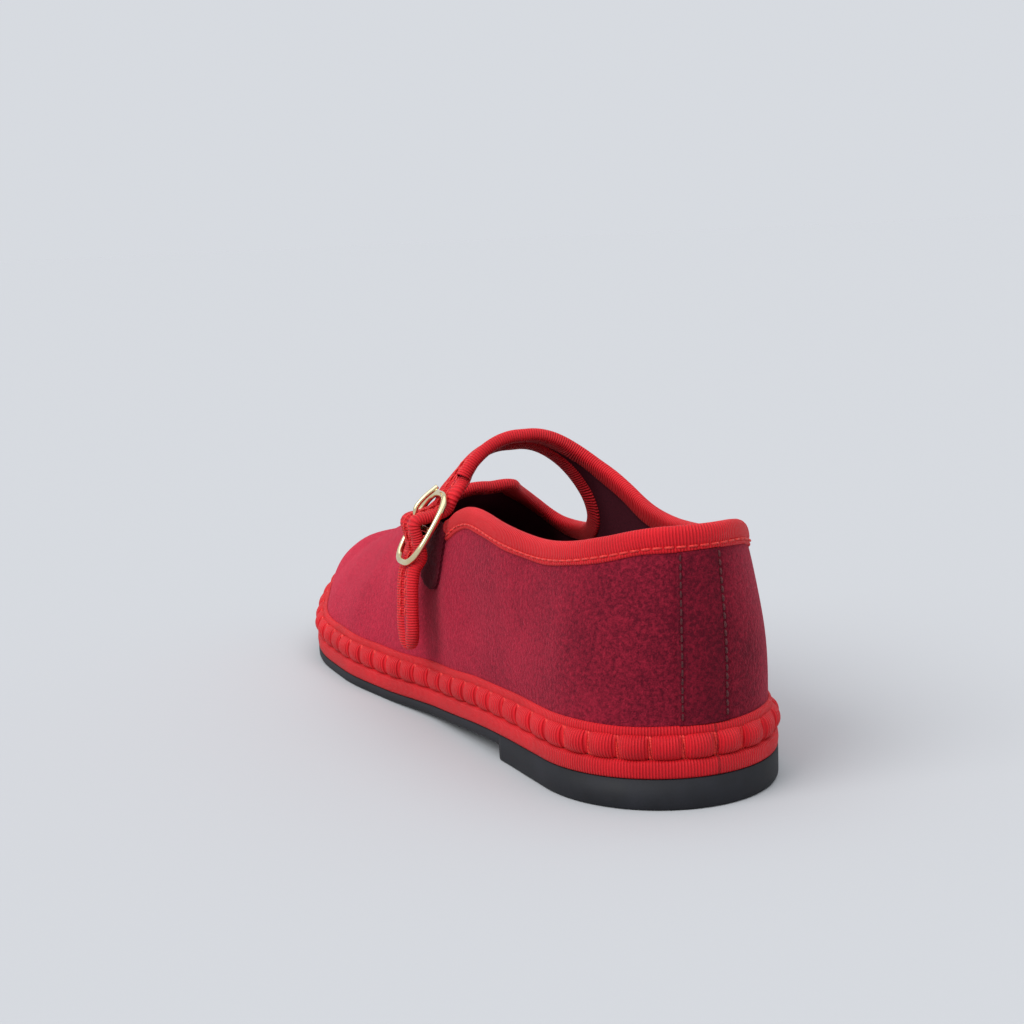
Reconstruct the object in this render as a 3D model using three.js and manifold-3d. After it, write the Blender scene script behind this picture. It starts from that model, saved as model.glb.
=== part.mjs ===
// A left mary jane shoe in velvet with grosgrain bindings, a ribbon-wrapped sole edge,
// a stitched rand roll, a black rubber sole and a strap with a slide buckle.
// Millimetres. X runs from heel to toe, Y to the wearer's left (the lateral side), Z up.
import * as THREE from 'three';
import { mergeVertices } from 'three/addons/utils/BufferGeometryUtils.js';
import Module from 'manifold-3d';

const wasm = await Module();
wasm.setup();

// Driving sizes of the last
const shoeLength = 250;
const ballWidth = 88.5;
const instepHeight = 84;
const collarHeight = 70;
const fullness = 1.5;

// Driving sizes of the sole
const outsoleThickness = 3;
const heelLiftHeight = 5.1;
const heelLiftLength = 63;
const toeSpring = 15.3;
const bandHeight = 4.8;
const bandRounding = 0.8;
const soleEase = 0.6;
const breastEase = 1;
const leastLift = 1;
const rollHeight = 6;
const rollInset = 2.7;
const rollDepth = 1.9;
const rollBulge = 0.2;
const rollWaist = 0.7;
const wrapPitch = 8.7;
const selvageHeight = 2;
const insoleThickness = 3;

// Driving sizes of the cloth, the ribbons and the strap
const wall = 1.6;
const ribbon = 0.7;
const bindingWidth = 5.5;
const stayWidth = 16.4;
const stayCentre = 2.2;
const stayThickness = 0.8;
const strapWidth = 11.5;
const strapSlot = 2.2;
const strapReach = 24;
const tabStart = 0.422;
const tabWidth = 15;
const tabHeight = 21;
const tabTop = 59;
const tabThickness = 1.2;
const pocketLip = 5;

// Driving sizes of the buckle
const frameLength = 25;
const frameWire = 2;
const frameDepth = 1.7;
const barRadius = 0.9;
const tongueRadius = 0.7;
const frameAt = 0.452;
const frameTurn = 0.07;
const frameSquare = 3;
const frameFlat = 0.4;
const frameSide = 1.6;
const strapHump = 4.6;

// Clearances
const gap = 0.3;
const selvageGap = 0.55;
const beyond = 40;

// Where the strap's rear and front edges cross the instep, as shares of the length
const strapRear = 0.447;
const strapFront = strapRear + strapWidth / shoeLength;

const stations = 32;
const profileRows = 8;
const ceiling = collarHeight * 1.8;
const sideBlend = 6;
const skirt = 8;

// The sole outline: centre and half width as shares of the ball width
const outlineRows = [
  { at: 0, centre: -0.002, half: 0.362 },
  { at: 0.12, centre: -0.001, half: 0.364 },
  { at: 0.2, centre: 0, half: 0.37 },
  { at: 0.3, centre: 0.011, half: 0.373 },
  { at: 0.42, centre: 0.019, half: 0.381 },
  { at: 0.55, centre: 0.018, half: 0.437 },
  { at: 0.68, centre: 0.006, half: 0.496 },
  { at: 0.78, centre: -0.002, half: 0.5 },
  { at: 0.87, centre: -0.025, half: 0.497 },
  { at: 0.94, centre: -0.041, half: 0.497 },
  { at: 1, centre: -0.079, half: 0.497 },
];
const heelRound = 0.14;
const toeRound = 0.24;

// The outsole's underside: shares of the heel lift and of the toe spring
const underRows = [
  { at: 0, heel: 1, toe: 0 },
  { at: 0.27, heel: 0.8, toe: 0 },
  { at: 0.4, heel: 0.38, toe: 0 },
  { at: 0.48, heel: 0.15, toe: 0 },
  { at: 0.57, heel: 0, toe: 0 },
  { at: 0.74, heel: 0, toe: 0 },
  { at: 0.8, heel: 0, toe: 0.06 },
  { at: 0.9, heel: 0, toe: 0.36 },
  { at: 1, heel: 0, toe: 1 },
];

// The last above the sole: ridge as a share of the instep height, and how square its sections are
const lastRows = [
  { at: 0, ridge: 1.17, square: 1.7 },
  { at: 0.1, ridge: 1.17, square: 1.85 },
  { at: 0.18, ridge: 1.165, square: 2.15 },
  { at: 0.26, ridge: 1.15, square: 2.7 },
  { at: 0.36, ridge: 1.1, square: 2.5 },
  { at: 0.41, ridge: 1.03, square: 2.4 },
  { at: 0.45, ridge: 0.99, square: 2.3 },
  { at: 0.493, ridge: 0.942, square: 2.02 },
  { at: 0.55, ridge: 0.776, square: 1.95 },
  { at: 0.6, ridge: 0.72, square: 1.9 },
  { at: 0.66, ridge: 0.65, square: 1.85 },
  { at: 0.72, ridge: 0.582, square: 1.8 },
  { at: 0.78, ridge: 0.515, square: 1.8 },
  { at: 0.85, ridge: 0.442, square: 1.85 },
  { at: 0.92, ridge: 0.387, square: 2.6 },
  { at: 1, ridge: 0.37, square: 3 },
];
const spineHeel = 0.05;
const spineToe = 0.87;

// Edges of the openings in side view: shares of the length and of the collar height
const collarRows = [
  { medialAt: -0.1, medialUp: 1, lateralAt: -0.1, lateralUp: 1 },
  { medialAt: 0.03, medialUp: 1, lateralAt: 0.03, lateralUp: 1 },
  { medialAt: 0.08, medialUp: 0.948, lateralAt: 0.08, lateralUp: 0.955 },
  { medialAt: 0.12, medialUp: 0.915, lateralAt: 0.12, lateralUp: 0.923 },
  { medialAt: 0.16, medialUp: 0.888, lateralAt: 0.18, lateralUp: 0.902 },
  { medialAt: 0.24, medialUp: 0.848, lateralAt: 0.26, lateralUp: 0.921 },
  { medialAt: 0.3, medialUp: 0.853, lateralAt: 0.32, lateralUp: 0.938 },
  { medialAt: 0.34, medialUp: 0.886, lateralAt: 0.365, lateralUp: 0.935 },
  { medialAt: 0.375, medialUp: 0.952, lateralAt: 0.4, lateralUp: 0.9 },
  { medialAt: 0.4, medialUp: 1.005, lateralAt: 0.43, lateralUp: 0.85 },
  { medialAt: 0.425, medialUp: 1.062, lateralAt: 0.435, lateralUp: 0.94 },
  { medialAt: 0.439, medialUp: 1.115, lateralAt: 0.439, lateralUp: 1.06 },
  { medialAt: 0.4445, medialUp: 1.18, lateralAt: 0.4445, lateralUp: 1.19 },
  { medialAt: strapRear, medialUp: 1.3, lateralAt: strapRear, lateralUp: 1.3 },
  { medialAt: strapRear, medialUp: 1.8, lateralAt: strapRear, lateralUp: 1.8 },
];
const throatRows = [
  { medialAt: 0.548, medialUp: 1.8, lateralAt: 0.548, lateralUp: 1.8 },
  { medialAt: 0.548, medialUp: 1.2, lateralAt: 0.548, lateralUp: 1.2 },
  { medialAt: 0.55, medialUp: 1, lateralAt: 0.55, lateralUp: 1 },
  { medialAt: 0.556, medialUp: 0.93, lateralAt: 0.557, lateralUp: 0.93 },
  { medialAt: 0.577, medialUp: 0.875, lateralAt: 0.564, lateralUp: 0.87 },
  { medialAt: 0.594, medialUp: 0.81, lateralAt: 0.568, lateralUp: 0.82 },
  { medialAt: 0.597, medialUp: 0.75, lateralAt: 0.567, lateralUp: 0.77 },
  { medialAt: 0.582, medialUp: 0.712, lateralAt: 0.557, lateralUp: 0.735 },
  { medialAt: 0.545, medialUp: 0.7, lateralAt: 0.538, lateralUp: 0.726 },
  { medialAt: 0.51, medialUp: 0.725, lateralAt: 0.512, lateralUp: 0.738 },
  { medialAt: strapFront - 0.006, medialUp: 0.79, lateralAt: strapFront - 0.007, lateralUp: 0.77 },
  { medialAt: strapFront - 0.012, medialUp: 0.87, lateralAt: strapFront - 0.011, lateralUp: 0.83 },
  { medialAt: strapFront - 0.009, medialUp: 0.95, lateralAt: strapFront - 0.01, lateralUp: 0.93 },
  { medialAt: strapFront - 0.005, medialUp: 1.03, lateralAt: strapFront - 0.006, lateralUp: 1.03 },
  { medialAt: strapFront - 0.001, medialUp: 1.1, lateralAt: strapFront - 0.001, lateralUp: 1.1 },
  { medialAt: strapFront, medialUp: 1.2, lateralAt: strapFront, lateralUp: 1.2 },
  { medialAt: strapFront, medialUp: 1.8, lateralAt: strapFront, lateralUp: 1.8 },
];
const underStrapRows = [
  { at: 0.425, up: 1.8 },
  { at: 0.425, up: 0.86 },
  { at: 0.45, up: 0.8 },
  { at: 0.48, up: 0.72 },
  { at: 0.5, up: 0.68 },
  { at: 0.5, up: 1.8 },
];

// The buckle's two ends and the strap's tip: shares of the ball width and of the collar height
const buckleRows = {
  head: { out: 0.313, up: 0.978 },
  foot: { out: 0.475, up: 0.673 },
  tip: { out: 0.47, up: 0.32 },
};

// The tongue's way from the bar to the frame: run and off in millimetres from the bar
const tongueRows = [
  { run: -4, off: strapHump + 0.2 },
  { run: -8.5, off: strapHump - 0.8 },
];

// The strap's way through the buckle: across and run in millimetres, sunk as a share of its depth
const tailRows = [
  { across: 0.5, run: -12, sunk: 0.95 },
  { across: 0.3, run: -7.6, sunk: 0.93 },
  { across: 0.1, run: -3.9, sunk: -0.07 },
  { across: 0, run: 0, sunk: -1.24 },
  { across: -0.1, run: 3.9, sunk: -0.07 },
  { across: -0.3, run: 7.6, sunk: 0.96 },
  { across: -0.6, run: 12.5, sunk: 1 },
];
const tailDrift = { middle: 2, tip: 3.4, sag: 0.6 };

// Smooth value of one column of a table, without overshoot between rows
function along(rows, column, at) {
  if (at <= rows[0].at) return rows[0][column];
  const last = rows.length - 1;
  if (at >= rows[last].at) return rows[last][column];
  let i = 0;
  while (at > rows[i + 1].at) i += 1;
  const secant = (k) => (rows[k + 1][column] - rows[k][column]) / (rows[k + 1].at - rows[k].at);
  const slope = (k) => {
    if (k === 0) return secant(0);
    if (k === last) return secant(last - 1);
    const before = secant(k - 1);
    const after = secant(k);
    return before * after <= 0 ? 0 : 2 * before * after / (before + after);
  };
  const span = rows[i + 1].at - rows[i].at;
  const t = (at - rows[i].at) / span;
  const rise = t * t * (3 - 2 * t);
  return rows[i][column] * (1 - rise) + rows[i + 1][column] * rise
    + span * (slope(i) * t * (1 - t) ** 2 - slope(i + 1) * t * t * (1 - t));
}

// Heights of the sole's faces above the floor
const underside = (x) => {
  const at = x / shoeLength;
  return heelLiftHeight * along(underRows, 'heel', at) + toeSpring * along(underRows, 'toe', at);
};
const rubberTop = (x) => underside(x) + outsoleThickness;
const bandTop = (x) => rubberTop(x) + bandHeight;
const rollTop = (x) => bandTop(x) + rollHeight;

// A point of the outline on one side, 1 for lateral and -1 for medial
function outlinePoint(at, side) {
  const heel = Math.max(0, 1 - at / heelRound);
  const toe = Math.max(0, (at - 1 + toeRound) / toeRound);
  const cap = Math.sqrt(Math.max(0, 1 - heel ** 2)) * Math.sqrt(Math.max(0, 1 - toe ** 2));
  const centre = ballWidth * along(outlineRows, 'centre', at);
  const half = ballWidth * along(outlineRows, 'half', at) * cap;
  return new THREE.Vector2(at * shoeLength, centre + side * half);
}

const stationShare = (k, count) => (1 - Math.cos(Math.PI * k / count)) / 2;

// The closed outline, from the heel along the lateral side to the toe and back, moved inward
function outlineLoop(inset, count = stations) {
  const loop = [];
  for (let k = 0; k < count; k += 1) loop.push(outlinePoint(stationShare(k, count), 1));
  for (let k = count; k > 0; k -= 1) loop.push(outlinePoint(stationShare(k, count), -1));
  return loop.map((point, i) => {
    const before = loop[(i + loop.length - 1) % loop.length];
    const after = loop[(i + 1) % loop.length];
    const run = after.clone().sub(before).normalize();
    return { x: point.x + run.y * inset, y: point.y - run.x * inset, out: new THREE.Vector2(-run.y, run.x) };
  });
}

// The same outline at equal steps along its length
function evenLoop(inset, count) {
  const fine = outlineLoop(inset, 240);
  const lengths = [0];
  for (let i = 1; i <= fine.length; i += 1) {
    const a = fine[i - 1];
    const b = fine[i % fine.length];
    lengths.push(lengths[i - 1] + Math.hypot(b.x - a.x, b.y - a.y));
  }
  const total = lengths[fine.length];
  const loop = [];
  let i = 0;
  for (let k = 0; k < count; k += 1) {
    const reach = total * k / count;
    while (lengths[i + 1] < reach) i += 1;
    const t = (reach - lengths[i]) / (lengths[i + 1] - lengths[i]);
    const a = fine[i];
    const b = fine[(i + 1) % fine.length];
    const out = a.out.clone().lerp(b.out, t).normalize();
    loop.push({ x: a.x + (b.x - a.x) * t, y: a.y + (b.y - a.y) * t, out });
  }
  return { loop, total };
}

// Meshes and solids
function geometryOf(points, faces) {
  const geometry = new THREE.BufferGeometry();
  geometry.setAttribute('position', new THREE.Float32BufferAttribute(points.flat(), 3));
  geometry.setIndex(faces.flat());
  return geometry;
}

// Six times the volume inside a mesh, below zero where its faces point inward
function signedVolume(position, faces) {
  const corner = (i) => new THREE.Vector3().fromBufferAttribute(position, faces[i]);
  let volume = 0;
  for (let i = 0; i < faces.length; i += 3) {
    volume += corner(i).dot(corner(i + 1).cross(corner(i + 2)));
  }
  return volume;
}

function solidOf(geometry) {
  geometry.deleteAttribute('normal');
  geometry.deleteAttribute('uv');
  const merged = mergeVertices(geometry, 1e-4);
  const faces = Uint32Array.from(merged.index.array);
  if (signedVolume(merged.attributes.position, faces) < 0) faces.reverse();
  const mesh = new wasm.Mesh({
    numProp: 3,
    vertProperties: Float32Array.from(merged.attributes.position.array),
    triVerts: faces,
  });
  return new wasm.Manifold(mesh);
}

function meshGeometry(solid) {
  const mesh = solid.getMesh();
  const geometry = new THREE.BufferGeometry();
  geometry.setAttribute('position', new THREE.Float32BufferAttribute(mesh.vertProperties, 3));
  geometry.setIndex(Array.from(mesh.triVerts));
  return geometry;
}

// A closed body between rings of points: rows go up, and the first and last are capped across
function capped(rows) {
  const count = rows[0].length;
  const points = rows.flat();
  const faces = [];
  for (let j = 0; j + 1 < rows.length; j += 1) {
    for (let i = 0; i < count; i += 1) {
      const next = (i + 1) % count;
      const a = j * count + i;
      const b = j * count + next;
      faces.push([a, b + count, b], [a, a + count, b + count]);
    }
  }
  const top = (rows.length - 1) * count;
  for (let k = 0; k < count / 2; k += 1) {
    const lateral = k;
    const lateralNext = k + 1;
    const medial = (count - k) % count;
    const medialNext = count - k - 1;
    if (medial !== lateral) {
      faces.push([lateral, lateralNext, medial]);
      faces.push([top + lateral, top + medial, top + lateralNext]);
    }
    if (medialNext !== lateralNext) {
      faces.push([lateralNext, medialNext, medial]);
      faces.push([top + lateralNext, top + medial, top + medialNext]);
    }
  }
  return geometryOf(points, faces);
}

// A plate that follows the outline; each edge row gives its inset and its height
function plate(edges) {
  const rows = edges.map((edge) => outlineLoop(edge.inset).map((p) => [p.x, p.y, edge.height(p.x)]));
  return capped(rows);
}

// A ring of one section, swept round a closed loop
function ring(sections) {
  const count = sections.length;
  const sides = sections[0].length;
  const faces = [];
  for (let i = 0; i < count; i += 1) {
    for (let j = 0; j < sides; j += 1) {
      const a = i * sides + j;
      const b = i * sides + (j + 1) % sides;
      const c = ((i + 1) % count) * sides + j;
      const d = ((i + 1) % count) * sides + (j + 1) % sides;
      faces.push([a, b, d], [a, d, c]);
    }
  }
  return geometryOf(sections.flat(), faces);
}

// A prism through the shoe along Y, from an outline drawn in side view
function sidePrism(outline, yFrom, yTo) {
  const shape = new THREE.Shape(outline.map(([x, z]) => new THREE.Vector2(x, z)));
  const geometry = new THREE.ExtrudeGeometry(shape, { depth: yTo - yFrom, bevelEnabled: false });
  geometry.rotateX(Math.PI / 2);
  geometry.translate(0, yTo, 0);
  return solidOf(geometry);
}

// Slope of the ridge where it ends at the toe
const toeEnd = spineToe * shoeLength;
const slopeStep = 0.01;
const toeFall = (instepHeight / shoeLength / slopeStep)
  * (along(lastRows, 'ridge', spineToe) - along(lastRows, 'ridge', spineToe - slopeStep));

// A point of the skin above one outline point, at a share of the ridge's height there
function skinPoint(p, top, up) {
  const power = 2 / along(lastRows, 'square', p.x / shoeLength);
  const inward = 1 - Math.sqrt(Math.max(0, 1 - up ** (2 / power))) ** power;
  const base = bandTop(p.x);
  const swell = fullness * 4 * up * (1 - up) * (top[2] - base) / instepHeight;
  const x = p.x + (top[0] - p.x) * inward + p.out.x * swell;
  const y = p.y + (top[1] - p.y) * inward + p.out.y * swell;
  return [x, y, base + (top[2] - base) * up + toeFall * up ** 4 * Math.max(0, x - toeEnd)];
}

// The share of the ridge's height at which the skin reaches a height
function shareAt(p, top, height) {
  let up = 0;
  for (let k = 0; k < 12; k += 1) up += (height - skinPoint(p, top, up)[2]) / (top[2] - bandTop(p.x));
  return up;
}

// The share reached by going up the skin from another share by a distance
function shareAlong(p, top, from, distance) {
  const start = new THREE.Vector3(...skinPoint(p, top, from));
  const step = 0.002;
  let up = from;
  while (start.distanceTo(new THREE.Vector3(...skinPoint(p, top, up))) < distance) up += step;
  return up;
}

function makeSkin() {
  const feather = outlineLoop(rollInset);
  const spine = [];
  for (let k = 0; k <= stations; k += 1) {
    const at = spineHeel + (spineToe - spineHeel) * stationShare(k, stations);
    const height = instepHeight * along(lastRows, 'ridge', at);
    spine.push([at * shoeLength, ballWidth * along(outlineRows, 'centre', at), height]);
  }
  const columns = feather.map((p, i) => {
    const top = spine[Math.min(i, feather.length - i)];
    const power = 2 / along(lastRows, 'square', p.x / shoeLength);
    const rollEdge = Math.min(p.x + Math.max(p.out.x, 0) * rollInset, shoeLength);
    const foot = shareAt(p, top, rollTop(rollEdge) + gap);
    const head = shareAlong(p, top, foot, selvageHeight);
    const shares = [0, foot * 0.5, foot, head];
    const start = Math.asin(head ** (1 / power));
    const left = profileRows - shares.length + 1;
    for (let j = 1; j < left; j += 1) {
      shares.push(Math.sin(start + (Math.PI / 2 - start) * j / left) ** power);
    }
    const base = [p.x, p.y, bandTop(p.x) - skirt];
    return [base].concat(shares.map((up) => skinPoint(p, top, up)));
  });
  const rows = columns[0].map((point, j) => columns.map((column) => column[j]));
  const count = feather.length;
  const faces = [];
  for (let j = 0; j + 1 < rows.length; j += 1) {
    for (let i = 0; i < count; i += 1) {
      const next = (i + 1) % count;
      const a = j * count + i;
      const b = j * count + next;
      faces.push([a, b + count, b], [a, a + count, b + count]);
    }
  }
  const edge = (rows.length - 1) * count;
  const ridge = rows.length * count;
  for (let i = 0; i < count; i += 1) {
    const next = (i + 1) % count;
    const here = ridge + Math.min(i, count - i);
    const there = ridge + Math.min(next, count - next);
    faces.push([edge + i, here, there], [edge + i, there, edge + next]);
  }
  const points = rows.flat().concat(spine);
  const surface = geometryOf(points, faces);
  surface.computeVertexNormals();
  return { points, faces, count, normal: surface.attributes.normal };
}
const skin = makeSkin();
const selvageRow = 3;

// The skin's points moved outward by a distance
const grownSkin = (growth) => skin.points.map((p, i) => [
  p[0] + skin.normal.getX(i) * growth,
  p[1] + skin.normal.getY(i) * growth,
  p[2] + skin.normal.getZ(i) * growth,
]);

// The last: a closed form, grown by a distance all over
function lastForm(growth) {
  const { count } = skin;
  const floor = [];
  for (let k = 0; k < count / 2; k += 1) {
    const medial = (count - k) % count;
    if (medial !== k) floor.push([k, k + 1, medial]);
    if (count - k - 1 !== k + 1) floor.push([k + 1, count - k - 1, medial]);
  }
  return solidOf(geometryOf(grownSkin(growth), skin.faces.concat(floor)));
}

// A side-view line through table rows of one side, moved sideways by a distance
function edgeLine(rows, side, moved, steps = 2) {
  const nodes = rows.map((row) => new THREE.Vector3(
    row[`${side}At`] * shoeLength,
    row[`${side}Up`] * collarHeight,
    0,
  ));
  const curve = new THREE.CatmullRomCurve3(nodes, false, 'centripetal');
  const count = (rows.length - 1) * steps;
  const line = [];
  for (let i = 0; i <= count; i += 1) {
    const point = curve.getPoint(i / count);
    const run = curve.getTangent(i / count);
    line.push([point.x + run.y * moved, point.y - run.x * moved]);
  }
  return line;
}

// A cut through the shoe whose outline turns from the medial line to the lateral one
function sideCut(medial, lateral) {
  const count = medial.length;
  const levels = [
    medial.map(([x, z]) => [x, -ballWidth, z]),
    medial.map(([x, z]) => [x, -sideBlend, z]),
    lateral.map(([x, z]) => [x, sideBlend, z]),
    lateral.map(([x, z]) => [x, ballWidth, z]),
  ];
  const faces = [];
  for (let j = 0; j + 1 < levels.length; j += 1) {
    for (let i = 0; i < count; i += 1) {
      const a = j * count + i;
      const b = j * count + (i + 1) % count;
      faces.push([a, b, b + count], [a, b + count, a + count]);
    }
  }
  const flat = (line) => line.map(([x, z]) => new THREE.Vector2(x, z));
  const turned = THREE.ShapeUtils.isClockWise(flat(medial));
  const end = (levels.length - 1) * count;
  for (const [a, b, c] of THREE.ShapeUtils.triangulateShape(flat(medial), [])) {
    faces.push(turned ? [a, b, c] : [a, c, b]);
  }
  for (const [a, b, c] of THREE.ShapeUtils.triangulateShape(flat(lateral), [])) {
    faces.push(turned ? [end + a, end + c, end + b] : [end + a, end + b, end + c]);
  }
  return solidOf(geometryOf(levels.flat(), faces));
}

// The collar opening, enlarged by a distance all round
function collarCut(moved) {
  const rearEnd = collarRows[0].medialAt * shoeLength;
  const lid = [[strapRear * shoeLength + moved, ceiling + beyond], [rearEnd, ceiling + beyond]];
  return sideCut(
    edgeLine(collarRows, 'medial', moved).concat(lid),
    edgeLine(collarRows, 'lateral', moved).concat(lid),
  );
}

// The throat opening in front of the strap, enlarged by a distance all round
function throatCut(moved) {
  return sideCut(edgeLine(throatRows, 'medial', -moved), edgeLine(throatRows, 'lateral', -moved));
}

// What the free strap end leaves open on the lateral side
function underStrapCut(yFrom) {
  const outline = underStrapRows.map((row) => [row.at * shoeLength, row.up * collarHeight]);
  return sidePrism(outline, yFrom, ballWidth);
}

// Everything below, or above, a height that follows the sole
function sideOf(height, level) {
  const outline = [[-beyond / 2, height(0)]];
  for (let k = 0; k <= stations; k += 1) {
    const x = shoeLength * stationShare(k, stations);
    outline.push([x, height(x)]);
  }
  outline.push([shoeLength + beyond / 2, height(shoeLength)]);
  outline.push([shoeLength + beyond / 2, level], [-beyond / 2, level]);
  return sidePrism(outline, -ballWidth, ballWidth);
}
const below = (height) => sideOf(height, -beyond);
const above = (height) => sideOf(height, ceiling + beyond);

// A shell between two growths of the last
const shell = (outer, inner) => lastForm(outer).subtract(lastForm(inner));

function makeUpper() {
  return shell(0, -wall)
    .subtract(below((x) => bandTop(x) + gap))
    .subtract(collarCut(0))
    .subtract(throatCut(0))
    .subtract(underStrapCut(strapReach));
}

// The ribbon folded over an edge of the upper, clear of the cloth by the gap
function bindingOn(cut) {
  const folded = gap + ribbon;
  const band = cut(bindingWidth).subtract(cut(-folded));
  const cloth = shell(gap, -wall - gap).subtract(cut(-gap));
  return shell(folded, -wall - folded).intersect(band).subtract(cloth);
}

const group = new THREE.Group();
const finish = (color, roughness, metalness = 0) => new THREE.MeshStandardMaterial({ color, roughness, metalness });
const rubber = finish(0x2b2b30, 0.75);
const velvet = finish(0x9c2740, 0.9);
const lining = finish(0x3a1018, 0.9);
const grosgrain = finish(0xd0202c, 0.7);
const gold = finish(0xd9c690, 0.25, 1);

function addPart(name, geometry, material) {
  const mesh = new THREE.Mesh(geometry, material);
  mesh.name = name;
  group.add(mesh);
}
const addSolid = (name, solid, material) => addPart(name, meshGeometry(solid), material);

// The sole
addPart('outsole', plate([
  { inset: soleEase, height: underside },
  { inset: 0, height: (x) => underside(x) + soleEase },
  { inset: 0, height: rubberTop },
]), rubber);

function makeHeelLift() {
  const lift = solidOf(plate([
    { inset: soleEase, height: () => 0 },
    { inset: 0, height: () => soleEase },
    { inset: 0, height: (x) => Math.max(underside(x) - gap, leastLift) },
  ]));
  const foot = heelLiftLength - breastEase;
  const breast = [[-beyond, -beyond], [foot, -beyond], [foot, 0], [heelLiftLength, breastEase],
    [heelLiftLength, beyond], [-beyond, beyond]];
  return lift.intersect(sidePrism(breast, -ballWidth, ballWidth));
}
addSolid('heel_lift', makeHeelLift(), rubber);

addPart('midsole', plate([
  { inset: bandRounding, height: (x) => rubberTop(x) + gap },
  { inset: 0, height: (x) => rubberTop(x) + gap + bandRounding },
  { inset: 0, height: (x) => bandTop(x) - bandRounding },
  { inset: bandRounding, height: bandTop },
]), grosgrain);

const insoleInset = rollInset + wall + gap;
addPart('insole', plate([
  { inset: insoleInset, height: (x) => bandTop(x) + gap },
  { inset: insoleInset, height: (x) => bandTop(x) + gap + insoleThickness },
]), lining);

// The padded rand roll, drawn in at each wrap of the thread
function makeRoll() {
  const stepsPerWrap = 2;
  const wraps = Math.round(evenLoop(0, 400).total / wrapPitch);
  const { loop } = evenLoop(0, wraps * stepsPerWrap);
  const sides = 6;
  const sections = loop.map((p, i) => {
    const waist = i % stepsPerWrap === 0 ? rollWaist : 0;
    const section = [];
    for (let j = 0; j < sides; j += 1) {
      const turn = Math.PI * (j / (sides - 1) - 0.5);
      const out = (rollDepth + rollBulge - waist) * Math.cos(turn) - rollDepth;
      const up = (rollHeight / 2 - gap / 2 - waist * 0.4) * Math.sin(turn);
      const x = p.x + p.out.x * out;
      const middle = bandTop(Math.min(Math.max(x, 0), shoeLength)) + gap / 2 + rollHeight / 2;
      section.push([x, p.y + p.out.y * out, middle + up]);
    }
    return section;
  });
  return solidOf(ring(sections));
}
addSolid('rand_roll', makeRoll(), grosgrain);

// The ribbon's selvage standing against the velvet above the roll
function makeSelvage() {
  const inner = grownSkin(selvageGap);
  const outer = grownSkin(selvageGap + ribbon);
  const sections = [];
  for (let i = 0; i < skin.count; i += 1) {
    const foot = selvageRow * skin.count + i;
    const head = foot + skin.count;
    sections.push([inner[head], outer[head], outer[foot], inner[foot]]);
  }
  return solidOf(ring(sections));
}
addSolid('rand_selvage', makeSelvage(), grosgrain);

// The upper and its bindings
addSolid('upper', makeUpper(), velvet);
const tabRear = tabStart * shoeLength;
const tabPocket = sidePrism([
  [tabRear - gap, 0],
  [tabRear + tabWidth + gap, 0],
  [tabRear + tabWidth + gap, tabTop - pocketLip],
  [tabRear + tabWidth + pocketLip, tabTop - pocketLip],
  [tabRear + tabWidth + pocketLip, ceiling],
  [tabRear - gap, ceiling],
], strapReach, ballWidth);
addSolid('collar_binding', bindingOn(collarCut).subtract(tabPocket), grosgrain);
addSolid('throat_binding', bindingOn(throatCut).subtract(tabPocket), grosgrain);

// The raised strip over the back seam
function makeBackStay() {
  const reach = collarHeight / 2;
  const strip = sidePrism([[-beyond, 0], [reach, 0], [reach, ceiling], [-beyond, ceiling]],
    stayCentre - stayWidth / 2, stayCentre + stayWidth / 2);
  return shell(gap + stayThickness, gap)
    .intersect(strip)
    .subtract(below((x) => rollTop(x) + selvageHeight + 2 * gap))
    .subtract(collarCut(bindingWidth + gap));
}
addSolid('back_stay', makeBackStay(), velvet);

// The velvet tab that holds the buckle on the lateral quarter
function makeTab() {
  const outline = [];
  const corners = 8;
  const radius = tabWidth / 2;
  for (let i = 0; i <= corners; i += 1) {
    const turn = Math.PI * (1 + i / corners);
    outline.push([tabRear + radius + radius * Math.cos(turn), tabTop - tabHeight + radius + radius * Math.sin(turn)]);
  }
  outline.push([tabRear + tabWidth, tabTop], [tabRear, tabTop]);
  return shell(gap + tabThickness, gap).intersect(sidePrism(outline, strapReach - gap, ballWidth));
}
addSolid('buckle_tab', makeTab(), velvet);

// The plane of the buckle: run goes down the strap, off stands away from the foot
const sideSpot = ({ out, up }) => new THREE.Vector2(out * ballWidth, up * collarHeight);
const frameHead = sideSpot(buckleRows.head);
const frameFoot = sideSpot(buckleRows.foot);
const tailTip = sideSpot(buckleRows.tip);
const frameRun = frameFoot.clone().sub(frameHead).normalize();
const frameOff = new THREE.Vector2(-frameRun.y, frameRun.x);
const frameMiddle = frameHead.clone().lerp(frameFoot, 0.5);
const frameX = frameAt * shoeLength;
function framePoint(x, run, off) {
  const across = x * Math.cos(frameTurn) + off * Math.sin(frameTurn);
  const away = off * Math.cos(frameTurn) - x * Math.sin(frameTurn);
  return [
    frameX + across,
    frameMiddle.x + frameRun.x * run + frameOff.x * away,
    frameMiddle.y + frameRun.y * run + frameOff.y * away,
  ];
}

// A rod of round section through points given across, along and off the buckle's plane
function rod(points, radius, sides = 6, stepsPerPoint = 4) {
  const path = new THREE.CatmullRomCurve3(points.map((p) => new THREE.Vector3(...framePoint(...p))));
  const section = new THREE.Shape();
  for (let i = 0; i <= sides; i += 1) {
    const turn = 2 * Math.PI * i / sides;
    const x = radius * Math.cos(turn);
    const y = radius * Math.sin(turn);
    if (i === 0) section.moveTo(x, y);
    else section.lineTo(x, y);
  }
  return solidOf(new THREE.ExtrudeGeometry(section, {
    steps: stepsPerPoint * (points.length - 1),
    extrudePath: path,
    bevelEnabled: false,
  }));
}

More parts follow.
